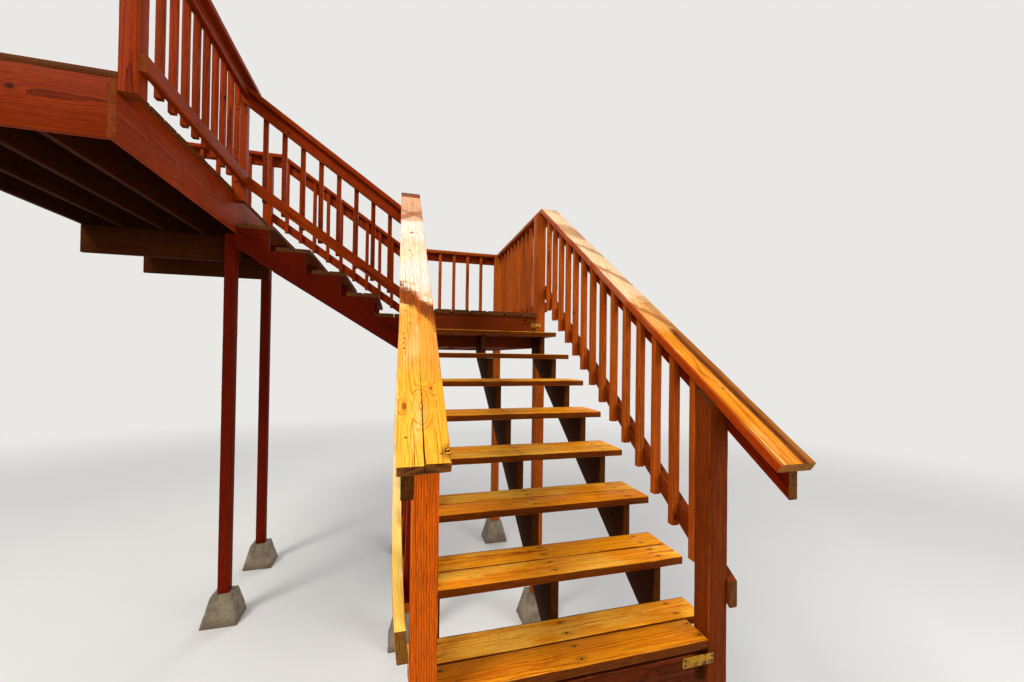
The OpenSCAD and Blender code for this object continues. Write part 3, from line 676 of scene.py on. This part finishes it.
# the right foot post takes the darker umberWood: painted shade
layBoards("foot_posts", "orangeWood", "umberWood", step=0.04, corner=0.0035, pith=(-0.07, -0.05))
layBoards("landing_posts", "rustWood", corner=0.0035, pith=(-0.06, -0.05))
layBoards("landing_frame", "umberWood")
layBoards("landing_decking", "plankWood", cracksFor=treadCracks)
layBoards("lap_boards", "plankWood", cracksFor=treadCracks)
layBoards("deck_posts", "redWood", corner=0.0035, pith=(-0.06, -0.07))
# the beams under the deck take the darkest wood: painted shade
layBoards("deck_beams", "brownWood")
# the joists under the deck are darker than the outer boards: painted shade
layBoards("deck_frame", "brownWood", "brownWood", "brownWood", "emberWood", "emberWood", "brownWood",
          "emberWood", wander=0.0005)      # the outer boards are brighter than the joists
layBoards("deck_decking", "plankWood", cracksFor=treadCracks)
layBoards("deck_newels", "emberWood", corner=0.0035)
print("stairs: steps, posts and decks laid")

sawteeth = {"corner": 0.003, "segments": 2}


def dressStringer(node, material, along, number):
    shape = solidOf(node)
    soften(shape, shape.edges[:], sawteeth["corner"], sawteeth["segments"])
    draw = random.Random(node)
    l = Vector(along).normalized()
    t = Vector((1, 0, 0)) if abs(l.x) < 0.1 else Vector((0, 1, 0))
    w = l.cross(t)
    shift = randomShift(draw)
    tone = (draw.random(), draw.random(), draw.random())
    middle = sum((v.co for v in shape.verts), Vector()) / len(shape.verts)
    places = [Vector((p.dot(l), p.dot(w), p.dot(t))) for p in (v.co - middle for v in shape.verts)]
    ends = [min(1.0, max(0.0, abs(f.normal.dot(l)) * 1.3 - 0.25)) if abs(f.normal.dot(t)) < 0.5 else 0.0
            for f in shape.faces]
    pith = Vector((0, 0.05, -0.06 - 0.02 * number))
    mesh = meshOf(shape, node + "Board")
    for mark, values in (("grain", [p + shift for p in places]), ("ring", [p - pith for p in places]),
                         ("tone", [tone] * len(places)), ("edge", [0.0] * len(places)),
                         ("crack", [0.0] * len(places))):
        store(mesh, mark, values)
    store(mesh, "end", ends, "FACE")
    keepPiece(node + "Board", mesh, material, node)


for number, side in enumerate(("left", "middle", "right")):
    dressStringer("lower_stringer_" + side, "brownWood", (0, plan["run"], plan["rise"]), number)
for number, side in enumerate(("near", "middle", "far")):
    dressStringer("upper_stringer_" + side, "redWood", (-plan["upperRun"], 0, plan["upperRise"]), number)
print("stairs: stringers cut")


# Guards: rails laid along the rake, and balusters shared out between the posts

guard = {"rail": 0.089, "baluster": 0.0372, "balusterCorner": 0.0026, "pitch": 0.147, "farPitch": 0.178,
         "topGap": 0.002, "footDrop": 0.015, "levelLift": 0.020, "lowerLift": 0.120, "upperLift": 0.085,
         "fall": 0.832, "reach": 1.200, "lowerTurn": 2.228, "deckTurn": -2.011, "footPost": 0.029}
# both faces of the rails and of the balusters, then the middles of the posts that the rails run to
rails, sticks = (0.622, 0.660), (0.584, 0.622)
nearRails, nearSticks = (2.706, 2.744), (2.744, 2.782)
farRails, farSticks = (4.089, 4.127), (4.051, 4.089)
deckRails, deckSticks = (-1.980, -1.942), (-2.018, -1.980)
landingPost, newel, nearNewel, farNewel, deckEnd = 2.2965, -0.5775, -2.0245, -2.1515, -3.289
halfPost = 0.0445
lowerSlope, upperSlope = plan["rise"] / plan["run"], -guard["fall"] / guard["reach"]
lowerTurn, landingTurn = (guard["lowerTurn"], plan["caps"]), (-plan["postX"], plan["caps"])
deckTurn = (guard["deckTurn"], plan["caps"] + upperSlope * (guard["deckTurn"] + plan["postX"]))
lowerDrop = plan["caps"] - (plan["rise"] + lowerSlope * lowerTurn[0]) - guard["lowerLift"]
upperNosing = plan["landing"] + plan["upperRise"] + upperSlope * (-plan["postX"] - plan["upperStart"])
upperDrop = plan["caps"] - upperNosing - guard["upperLift"]
landingDrop = plan["caps"] - plan["landing"] - guard["levelLift"]
deckDrop = deckTurn[1] - plan["deck"] - guard["levelLift"]


def onLine(point, slope, u):
    return (u, point[1] + slope * (u - point[0]))


def mitre(a, b):
    return -math.tan((math.atan(a) + math.atan(b)) / 2)


def turned(plane, u, across, z):
    # a guard runs along y at the sides and along x at the front
    return Vector((across, u, z) if plane == "side" else (u, across, z))


def layRail(pile, plane, low, high, p, q, width, leanP=0.0, leanQ=0.0, bow=None):
    # p and q are on the upper edge where width is below zero, and on the lower edge otherwise
    du, dz = q[0] - p[0], q[1] - p[1]
    size = math.hypot(du, dz)
    du, dz = du / size, dz / size
    nu, nz = (-dz, du) if du > 0 else (dz, -du)
    l, n, axis = turned(plane, du, 0, dz), turned(plane, nu, 0, nz), turned(plane, 0, 1, 0)
    n0, n1 = min(0, width), max(0, width)
    ratioP = (leanP * du + dz) / (leanP * nu + nz)
    ratioQ = (leanQ * du + dz) / (leanQ * nu + nz)
    around = (n0, n1, n1, n0)
    cuts = ([ratioP * off for off in around], [size + ratioQ * off for off in around])
    start = drawing + turned(plane, p[0], 0, p[1]) + n * n0 + axis * low
    pile.board(start, (l, size), (n, abs(width)), (axis, high - low), cuts, bow=bow)


def newTree(name, sockets):
    # gives the tree's graph, and a call that puts one of its named inputs to use
    tree = bpy.data.node_groups.new(name, "GeometryNodeTree")
    tree.is_modifier = True
    tree.interface.new_socket("Geometry", in_out="OUTPUT", socket_type="NodeSocketGeometry")
    for socket, kind in {"Geometry": "Geometry", **sockets, "Material": "Material"}.items():
        tree.interface.new_socket(socket, in_out="INPUT", socket_type="NodeSocket" + kind)
    g = Graph(tree)
    return g, g.add("NodeGroupInput").out


def endTree(g, put, shape):
    shape = g.add("GeometryNodeSetMaterial", {"Geometry": shape, "Material": put("Material")})
    g.add("NodeGroupOutput", {"Geometry": shape})
    return g.tree


def readNamed(g, name):
    return g.add("GeometryNodeInputNamedAttribute", {"Name": name}, data_type="FLOAT_VECTOR")


def balusterTree():
    g, put = newTree("balusters", {
        "Count": "Int", "First Foot": "Vector", "Step": "Vector", "Along": "Vector", "Height": "Float",
        "Side": "Float", "Rake": "Float", "Corner": "Float", "Seed": "Int"})

    def keep(shape, name, value, kind="FLOAT_VECTOR", domain="POINT"):
        inputs = {"Geometry": shape, "Name": name, "Value": value}
        return g.add("GeometryNodeStoreNamedAttribute", inputs, data_type=kind, domain=domain)

    def absolute(value):
        return g.math("ABSOLUTE", value)

    # one stick, rounded and cut to the rake at its top
    square = g.add("GeometryNodeCurvePrimitiveQuadrilateral", {"Width": put("Side"), "Height": put("Side")})
    soft = g.add("GeometryNodeFilletCurve", {"Curve": square, "Count": 2, "Radius": put("Corner"),
                                             "Limit Radius": True}, mode="POLY")
    line = g.add("GeometryNodeCurvePrimitiveLine", {"Start": (0, 0, 0),
                                                    "End": g.combine(0.0, 0.0, put("Height"))})
    line = g.add("GeometryNodeResampleCurve", {"Curve": line, "Count": 9})
    stick = g.add("GeometryNodeCurveToMesh", {"Curve": line, "Profile Curve": soft, "Fill Caps": True})
    place = g.add("GeometryNodeInputPosition")
    x, y, z = g.split(place)
    upright = absolute(g.split(g.add("GeometryNodeInputNormal"))[2])
    outer = g.math("GREATER_THAN", absolute(x) + absolute(y), put("Side") - put("Corner") * 0.75)
    stick = keep(stick, "local", place)
    stick = keep(stick, "end", g.math("GREATER_THAN", upright, 0.7), "FLOAT", "FACE")
    stick = keep(stick, "edge", outer, "FLOAT")
    stick = keep(stick, "crack", 0.0, "FLOAT")
    rake = g.vector("DOT_PRODUCT", place, put("Along"), out="Value") * put("Rake") * z / put("Height")
    stick = g.add("GeometryNodeSetPosition", {"Geometry": stick, "Offset": g.combine(0.0, 0.0, rake)})

    # a row of them, each with its own tone and place in the tree
    row = g.add("GeometryNodeMeshLine", {"Count": put("Count"), "Start Location": put("First Foot"),
                                         "Offset": put("Step")}, mode="OFFSET")
    row = g.add("GeometryNodeInstanceOnPoints", {"Points": row, "Instance": stick})
    for seed, (name, low, high) in enumerate((("tone", (0, 0, 0), (1, 1, 1)),
                                              ("shift", (-40, -9, -9), (40, 9, 9)),
                                              ("pith", (0, -0.03, -0.09), (0, 0.03, -0.02)))):
        value = g.add("FunctionNodeRandomValue", {0: low, 1: high, "Seed": put("Seed") + seed},
                      data_type="FLOAT_VECTOR")
        row = keep(row, name, value, domain="INSTANCE")
    row = g.add("GeometryNodeRealizeInstances", {"Geometry": row})
    x, y, z = g.split(readNamed(g, "local"))
    lengthwise = g.combine(z, x, y)
    row = keep(row, "grain", g.vector("ADD", lengthwise, readNamed(g, "shift")))
    row = keep(row, "ring", g.vector("SUBTRACT", lengthwise, readNamed(g, "pith")))
    bend = g.noise(g.add("GeometryNodeInputPosition"), 2.3, out=1)
    bend = g.vector("MULTIPLY", g.vector("SUBTRACT", bend, (0.5, 0.5, 0.5)), (0.004, 0.004, 0))
    row = g.add("GeometryNodeSetPosition", {"Geometry": row, "Offset": bend})
    flat = g.math("LESS_THAN", g.add("GeometryNodeInputMeshEdgeAngle"), 0.9)
    row = g.add("GeometryNodeSetShadeSmooth", {"Geometry": row, "Shade Smooth": flat}, domain="EDGE")
    return endTree(g, put, row)


def runTree(name, tree, values, points=()):
    # makes a mesh of the tree's result, with nothing left live on it
    mesh = bpy.data.meshes.new(name + "Start")
    if points:
        mesh.from_pydata([tuple(place) for place, facing in points], [], [])
        store(mesh, "facing", [facing for place, facing in points])
    maker = newObject(name + "Start", mesh)
    modifier = maker.modifiers.new("make", "NODES")
    modifier.node_group = tree
    for item in tree.interface.items_tree:
        if item.item_type == "SOCKET" and item.in_out == "INPUT" and item.name in values:
            modifier[item.identifier] = values[item.name]
    bpy.context.view_layer.update()
    graph = bpy.context.evaluated_depsgraph_get()
    result = bpy.data.meshes.new_from_object(maker.evaluated_get(graph), depsgraph=graph)
    bpy.data.objects.remove(maker)
    for helper in ("local", "shift", "pith"):
        if helper in result.attributes:
            result.attributes.remove(result.attributes[helper])
    result.name = name
    return result


balusters = balusterTree()


def layGuard(node, materials, plane, rails, sticks, topLine, bottomLine, slope, drop, p, posts,
             pitch=guard["pitch"], bow=None):
    # materials are those of the top rail, the bottom rail and the balusters; topLine has the two ends
    # of the upper edge and their leans; p is a point on that edge, and posts are the faces between
    # which the balusters are shared out
    top, low, thin = materials
    pile = Pile(node + "TopRail")
    layRail(pile, plane, *rails, topLine[0], topLine[1], -guard["rail"], *topLine[2])
    pile.finish(top, node)
    ends = [onLine((p[0], p[1] - drop), slope, u) for u in bottomLine]
    pile = Pile(node + "BottomRail")
    lean = 1 / math.hypot(1, slope)
    bend = (lambda s: bow(ends[0][0] + s * lean)) if bow else None
    layRail(pile, plane, *rails, ends[0], ends[1], guard["rail"], bow=bend)
    pile.finish(low, node)
    count = max(2, round(abs(posts[1] - posts[0]) / pitch) - 1)
    gap = (posts[1] - posts[0]) / (count + 1)
    first = onLine(p, slope, posts[0] + gap)
    height = drop + guard["footDrop"]
    foot = turned(plane, first[0], sum(sticks) / 2, first[1] - height)
    mesh = runTree(node + "Balusters", balusters, {
        "Count": count, "First Foot": drawing + foot, "Step": turned(plane, gap, 0, gap * slope),
        "Along": turned(plane, 1, 0, 0), "Height": height - guard["topGap"],
        "Side": guard["baluster"], "Rake": slope, "Corner": guard["balusterCorner"],
        "Seed": len(node) * 7 + count, "Material": finish[thin]})
    if bow:      # the feet go with the bowed rail
        for v in mesh.vertices:
            u = v.co.y - drawing.y
            down = (onLine(p, slope, u)[1] + drawing.z - v.co.z) / drop
            v.co += bow(u) * min(1, max(0, down))
    keepPiece(node + "Balusters", mesh, thin, node)


# The left bottom rail has bowed outwards between its posts
warp = {"size": 0.028, "length": 2.25, "skew": 0.55}


def leftBow(u):
    share = min(1, max(0, u / warp["length"])) ** warp["skew"]
    return Vector((-warp["size"] * math.sin(math.pi * share), 0, 0))


def sided(sign, pair):
    return sorted((sign * pair[0], sign * pair[1]))


def lowerGuard(node, materials, sign, reach, lean, lowReach, bow=None):
    # reach and lowReach are how far the two rails pass the foot post, and lean is the top one's cut
    start = onLine(lowerTurn, lowerSlope, plan["postY"] - reach)
    layGuard(node, materials, "side", sided(sign, rails), sided(sign, sticks),
             (start, lowerTurn, (lean, mitre(lowerSlope, 0))), (plan["postY"] - lowReach, landingPost),
             lowerSlope, lowerDrop, lowerTurn, (guard["footPost"], landingPost - halfPost), bow=bow)


def landingSide(node, materials, sign, railEnd, postEnd):
    layGuard(node, materials, "side", sided(sign, rails), sided(sign, sticks),
             (lowerTurn, (railEnd, plan["caps"]), (mitre(lowerSlope, 0), 0)), (landingPost, railEnd),
             0, landingDrop, lowerTurn, (landingPost + halfPost, postEnd))


rust, ember, turnLean = ("rustWood",) * 3, ("emberWood",) * 3, mitre(0, upperSlope)
deckStart, deckTop = plan["deckY"], deckTurn[1]
lowerGuard("lower_guard_left", ("brownWood", "paleWood", "redWood"), -1, 0.204, -0.35, 0.002, leftBow)
lowerGuard("lower_guard_right", ("redWood", "umberWood", "rustWood"), 1, 0.275, 0, 0.012)
landingSide("landing_guard_left", ember, -1, *nearRails)
landingSide("landing_guard_right", rust, 1, farRails[1], farRails[0] - 2 * halfPost)
layGuard("landing_guard_far", ("emberWood", "emberWood", "rustWood"), "front", farRails, farSticks,
         ((plan["postX"], plan["caps"]), landingTurn, (0, turnLean)), (plan["postX"], newel),
         0, landingDrop, landingTurn, (-newel - halfPost, newel + halfPost), guard["farPitch"])
layGuard("upper_guard_near", ember, "front", nearRails, nearSticks,
         (onLine(landingTurn, upperSlope, newel), deckTurn, (0, 0)), (newel, nearNewel),
         upperSlope, upperDrop, landingTurn, (newel - halfPost, nearNewel + halfPost))
layGuard("upper_guard_far", ember, "front", farRails, farSticks,
         (landingTurn, deckTurn, (turnLean, turnLean)), (newel, farNewel),
         upperSlope, upperDrop, landingTurn, (newel - halfPost, farNewel + halfPost))
layGuard("deck_guard_side", ember, "side", deckRails, deckSticks,
         ((deckStart, deckTop), (nearRails[0], deckTop), (0, 0)), (deckStart, nearRails[0]),
         0, deckDrop, (deckStart, deckTop), (deckStart + 2 * halfPost, nearRails[1]))
layGuard("deck_guard_far", ember, "front", farRails, farSticks,
         (deckTurn, (deckEnd, deckTop), (turnLean, 0)), (farNewel, deckEnd),
         0, deckDrop, deckTurn, (farNewel - halfPost, deckEnd))
print("stairs: guards laid")


# Caps: the left one is split from its foot end, as old boards are

leftCap = {
    "cracks": [
        {"at": 0.076, "from": 0.62, "to": -0.02, "width": 0.0050, "deep": 0.034, "sway": 0.0035},
        {"at": 0.047, "from": 0.26, "to": -0.05, "width": 0.0022, "deep": 0.012, "sway": 0.0025},
        {"at": 0.113, "from": 0.16, "to": -0.03, "width": 0.0014, "deep": 0.006, "sway": 0.003,
         "closes": True}],
    "holeAt": 0.040, "holeReach": 0.028, "holeSize": 0.016, "jog": {"at": 0.074, "size": 0.006},
    "pith": (0.083, -0.021)}
splinters = {"place": (0.046, 0.130), "sizes": (0.034, 0.026, 0.019), "thickness": 0.0034}


def capDamage(number, s):
    if number != 2:
        return 0.0
    away = (s - leftCap["holeAt"]) / leftCap["holeReach"]
    return leftCap["holeSize"] * math.exp(-away * away)


def raiseSplinters():
    # slivers stand out of the hole at the cap's inner edge
    start, (l, _), (w, _), (t, thick), _ = readBoard(solidsOf("lower_cap_left")[0])
    pile = Pile("capSplinters")
    s, a = splinters["place"]
    for number, size in enumerate(splinters["sizes"]):
        ahead = w * (0.9 - 0.25 * number) + l * (0.45 * number - 0.4) + t * (0.22 + 0.08 * number)
        ahead = ahead.normalized()
        wide = ahead.cross(t).normalized()
        deep = wide.cross(ahead).normalized()
        thickness = splinters["thickness"] * (1 - 0.18 * number)
        foot = start + l * (s + 0.007 * number) + w * (a + 0.002 * number) + t * (thick - 0.006)
        cuts = ([0.0] * 4, [size, size * 0.55, size * 0.45, size * 0.8])
        pile.board(foot, (ahead, size), (wide, thickness * 1.8), (deep, thickness), cuts, corner=0.0009,
                   step=0.004, wander=0.0012)
    pile.marks["spot"] = [(0.1, 0.09, 0.0)] * len(pile.points)
    pile.finish("bleachedWood", "lower_cap_left")


layBoards("lower_cap_left", "bleachedWood", cracksFor=lambda *board: leftCap["cracks"], step=0.012,
          corner=0.004, wander=0.0022, damage=capDamage, jog=leftCap["jog"], pith=leftCap["pith"])
raiseSplinters()
layBoards("lower_cap_right", "capWood", cracksFor=fewCracks, step=0.02, corner=0.004, wander=0.002)
for node, material in (("landing_caps", "rustWood"), ("upper_caps", "emberWood"), ("deck_caps", "emberWood")):
    layBoards(node, material, cracksFor=fewCracks, corner=0.004)
print("stairs: caps laid")


# Pier blocks of cast concrete, with chipped corners

pier = {"corner": 0.008, "long": 0.1, "cuts": 9, "chip": 0.018, "pit": 0.0012}


def castPiers():
    shape = solidOf("pier_blocks")
    soften(shape, shape.edges[:], pier["corner"], 2)
    long = [e for e in shape.edges if e.calc_length() > pier["long"]]
    bmesh.ops.subdivide_edges(shape, edges=long, cuts=pier["cuts"], use_grid_fill=True)
    shape.normal_update()
    for v in shape.verts:
        chip = max(0, noise.noise(v.co * 17) - 0.28) * pier["chip"]
        sharp = 1.0 if len({tuple(round(c, 1) for c in f.normal) for f in v.link_faces}) > 1 else 0.15
        v.co += v.normal * min(0, noise.noise(v.co * 41) * pier["pit"] - chip * sharp)
    keepPiece("pierCasts", meshOf(shape, "pierCasts"), "concrete", "pier_blocks")


castPiers()


# Straps, screws and nails

fixings = {"nailRadius": 0.0058, "nailHeight": 0.0004, "screwRadius": 0.0056, "screwHeight": 0.0007,
           "strapCorner": 0.004, "strapEdge": 0.0006, "sunk": 0.0006}


def strapPieces():
    shape = solidOf("strap_ties")
    upright = [e for e in shape.edges if abs((e.verts[0].co - e.verts[1].co).normalized().y) > 0.9]
    soften(shape, upright, fixings["strapCorner"], 4)
    soften(shape, shape.edges[:], fixings["strapEdge"], 1)
    keepPiece("tiePlates", meshOf(shape, "tiePlates"), "zinc", "strap_ties")


strapPieces()


def headTree(name, crossed):
    g, put = newTree(name, {"Head Radius": "Float", "Head Height": "Float", "Seed": "Int"})
    radius, height = put("Head Radius"), put("Head Height")
    cone = {"Vertices": 12, "Radius Top": radius * 0.86, "Radius Bottom": radius, "Depth": height * 2}
    parts = [g.add("GeometryNodeMeshCone", cone, fill_type="NGON").out("Mesh")]
    for wide, deep in ((1.0, 0.24), (0.24, 1.0)) if crossed else ():
        bar = g.combine(radius * wide, radius * deep, height * 0.5)
        bar = g.add("GeometryNodeMeshCube", {"Size": bar}).out("Mesh")
        lift = g.combine(0.0, 0.0, height * 2)
        parts.append(g.add("GeometryNodeTransform", {"Geometry": bar, "Translation": lift}))
    head = g.add("GeometryNodeJoinGeometry")
    for part in parts:
        g.tree.links.new(part.socket, head.node.inputs[0])

    def between(low, high, seed):
        return g.add("FunctionNodeRandomValue", {2: low, 3: high, "Seed": seed}, 1, data_type="FLOAT")

    turn = g.add("FunctionNodeAlignRotationToVector", {"Vector": readNamed(g, "facing")}, axis="Z")
    spin = g.combine(0.0, 0.0, between(0.0, 6.28, put("Seed")))
    spun = g.add("FunctionNodeRotateRotation", {"Rotation": turn, "Rotate By": spin}, rotation_space="LOCAL")
    scale = between(0.88, 1.1, put("Seed") + 5)
    heads = g.add("GeometryNodeInstanceOnPoints", {
        "Points": put("Geometry"), "Instance": head, "Rotation": spun, "Scale": g.combine(scale, scale, 1.0)})
    return endTree(g, put, g.add("GeometryNodeRealizeInstances", {"Geometry": heads}))


nailTree, screwTree = headTree("nailHeads", False), headTree("screwHeads", True)
chance = random.Random("fixings")


def drive(name, points, tree, head):
    mesh = runTree(name, tree, {
        "Head Radius": fixings[head + "Radius"], "Head Height": fixings[head + "Height"],
        "Seed": len(points), "Material": finish["steel"]}, points)
    keepPiece(name, mesh, "steel")


def nailed(xs, ys, top, rowsAlong):
    # rows of nails on a board's top, a row for each x or for each y
    rows = [(x, y) for x in xs for y in ys] if rowsAlong == "x" else [(x, y) for y in ys for x in xs]
    loose, z = nailing["jitter"], top - fixings["sunk"]
    return [(at(x + chance.uniform(-loose, loose), y + chance.uniform(-loose, loose), z), (0, 0, 1))
            for x, y in rows]


def stepNails():
    points, across = [], (-nailing["x"], 0.0, nailing["x"])
    for k in range(8):
        rows = [k * plan["run"] + y for y in nailing["rows"]]
        points += nailed(across, rows, (k + 1) * plan["rise"], "y")
    for k in range(4):
        rows = [plan["upperStart"] - k * plan["upperRun"] - x for x in nailing["rows"]]
        points += nailed(rows, nailing["upper"], plan["landing"] + (k + 1) * plan["upperRise"], "x")
    return points


def deckNails():
    pairs, count = nailing["rows"][:2], plan["landingBoards"]
    pitch = (plan["landingWidth"] - plan["board"]) / (count - 1)
    xs = [i * pitch - plan["landingWidth"] / 2 + x for i in range(count) for x in pairs]
    points = nailed(xs, nailing["landing"], plan["landing"], "x")
    pitch = (plan["deckLength"] - plan["board"]) / (plan["deckBoards"] - 1)
    ys = [plan["deckY"] + i * pitch + y for i in range(plan["deckBoards"]) for y in pairs]
    return points + nailed(nailing["deck"], ys, plan["deck"], "y")


def strapScrews():
    # two straps on each side: screws across, the face they are driven into, and screws up
    straps = (((0.548, 0.424), -0.0008, (0.1045, 0.1245)), ((0.498, 0.568), 2.2492, (1.585, 1.606)))
    return [(at(sign * x, y, z), (0, -1, 0))
            for sign in (-1, 1) for xs, y, zs in straps for x in xs for z in zs]


drive("stepNails", stepNails(), nailTree, "nail")
drive("deckNails", deckNails(), nailTree, "nail")
drive("strapScrews", strapScrews(), screwTree, "screw")
print("stairs: fixings driven")


# Floor, light and camera

backdrop = {"colour": (233, 232, 229), "fadeFrom": 5.0, "fadeTo": 15.0, "radius": 90}


def paintFloor(g):
    # far from the stairs the camera sees the floor turn into the backdrop
    place = g.body()
    colour = g.blend(g.noise(place, 0.8, 3.0), shade(226, 224, 220), shade(232, 230, 226))
    surface = g.add("ShaderNodeBsdfPrincipled", {"Base Color": colour, "Roughness": 0.9})
    far = g.ease(g.vector("LENGTH", place, out="Value"), backdrop["fadeFrom"], backdrop["fadeTo"])
    far = far * g.add("ShaderNodeLightPath").out("Is Camera Ray")
    glow = g.add("ShaderNodeEmission", {"Color": shade(*backdrop["colour"]), "Strength": 1.0})
    both = g.add("ShaderNodeMixShader", {0: far, 1: surface, 2: glow})
    g.add("ShaderNodeOutputMaterial", {"Surface": both})


def makeFloor():
    mesh = bpy.data.meshes.new("studioFloor")
    turns = [k * math.pi / 32 for k in range(64)]
    ring = [(backdrop["radius"] * math.cos(a), backdrop["radius"] * math.sin(a), 0) for a in turns]
    mesh.from_pydata(ring, [], [tuple(range(64))])
    mesh.materials.append(newMaterial("paleFloor", paintFloor))
    floor = newObject("studioFloor", mesh)


makeFloor()

# each lamp's place, size, power and tint
lamps = {"keyLight": ((-5.2, -4.0, 10.0), 3.5, 900, (1.0, 0.98, 0.93)),
         "fillLight": ((7.5, -6.0, 4.5), 5.0, 340, (0.98, 0.99, 1.0)),
         "rimLight": ((2.0, 8.5, 7.5), 4.0, 180, (1.0, 0.98, 0.95))}
lighting = {"aim": (0.2, -0.2, 2.0), "sky": 0.46}

for name, (place, size, power, tint) in lamps.items():
    light = bpy.data.lights.new(name, "AREA")
    light.shape, light.size, light.energy, light.color = "DISK", size, power, tint
    lamp = newObject(name, light)
    lamp.location = place
    lamp.rotation_euler = (Vector(lighting["aim"]) - Vector(place)).to_track_quat("-Z", "Y").to_euler()

world = bpy.data.worlds.new("studioSky")
bpy.context.scene.world = world
world.use_nodes = True
world.node_tree.nodes.clear()
sky = Graph(world.node_tree)
path = sky.add("ShaderNodeLightPath")
seen = sky.math("MAXIMUM", path.out("Is Camera Ray"), path.out("Is Glossy Ray"))
seen = sky.math("MAXIMUM", seen, path.out("Is Transmission Ray"))
even = sky.add("ShaderNodeBackground", {"Color": (0.93, 0.95, 1.0, 1), "Strength": lighting["sky"]})
pale = sky.add("ShaderNodeBackground", {"Color": shade(*backdrop["colour"]), "Strength": 1.0})
both = sky.add("ShaderNodeMixShader", {0: seen, 1: even, 2: pale})
sky.add("ShaderNodeOutputWorld", {"Surface": both})

view = {"place": (-0.6692, -1.3995, 1.3000), "yaw": 16.074, "pitch": 0.644, "roll": 0.775,
        "focal": 418.5, "middle": (519.7, 352.9), "frame": (1024, 682)}


def setCamera():
    yaw, pitch, roll = (math.radians(view[k]) for k in ("yaw", "pitch", "roll"))
    ahead = Vector((math.sin(yaw) * math.cos(pitch), math.cos(yaw) * math.cos(pitch), math.sin(pitch)))
    across = Vector((math.cos(yaw), -math.sin(yaw), 0))
    above = across.cross(ahead)
    tilted = across * math.cos(roll) + above * math.sin(roll)
    raised = above * math.cos(roll) - across * math.sin(roll)
    camera = bpy.data.cameras.new("photoView")
    width, height = view["frame"]
    camera.sensor_width = 36
    camera.lens = view["focal"] / width * 36
    camera.shift_x = (width / 2 - view["middle"][0]) / width
    camera.shift_y = (view["middle"][1] - height / 2) / width
    camera.clip_end = 400
    holder = newObject("photoView", camera)
    turn = Matrix((tilted, raised, -ahead)).transposed().to_4x4()
    holder.matrix_world = Matrix.Translation(at(*view["place"])) @ turn
    bpy.context.scene.camera = holder


setCamera()
bpy.context.scene.view_settings.view_transform = "Standard"

print("stairs: ready")
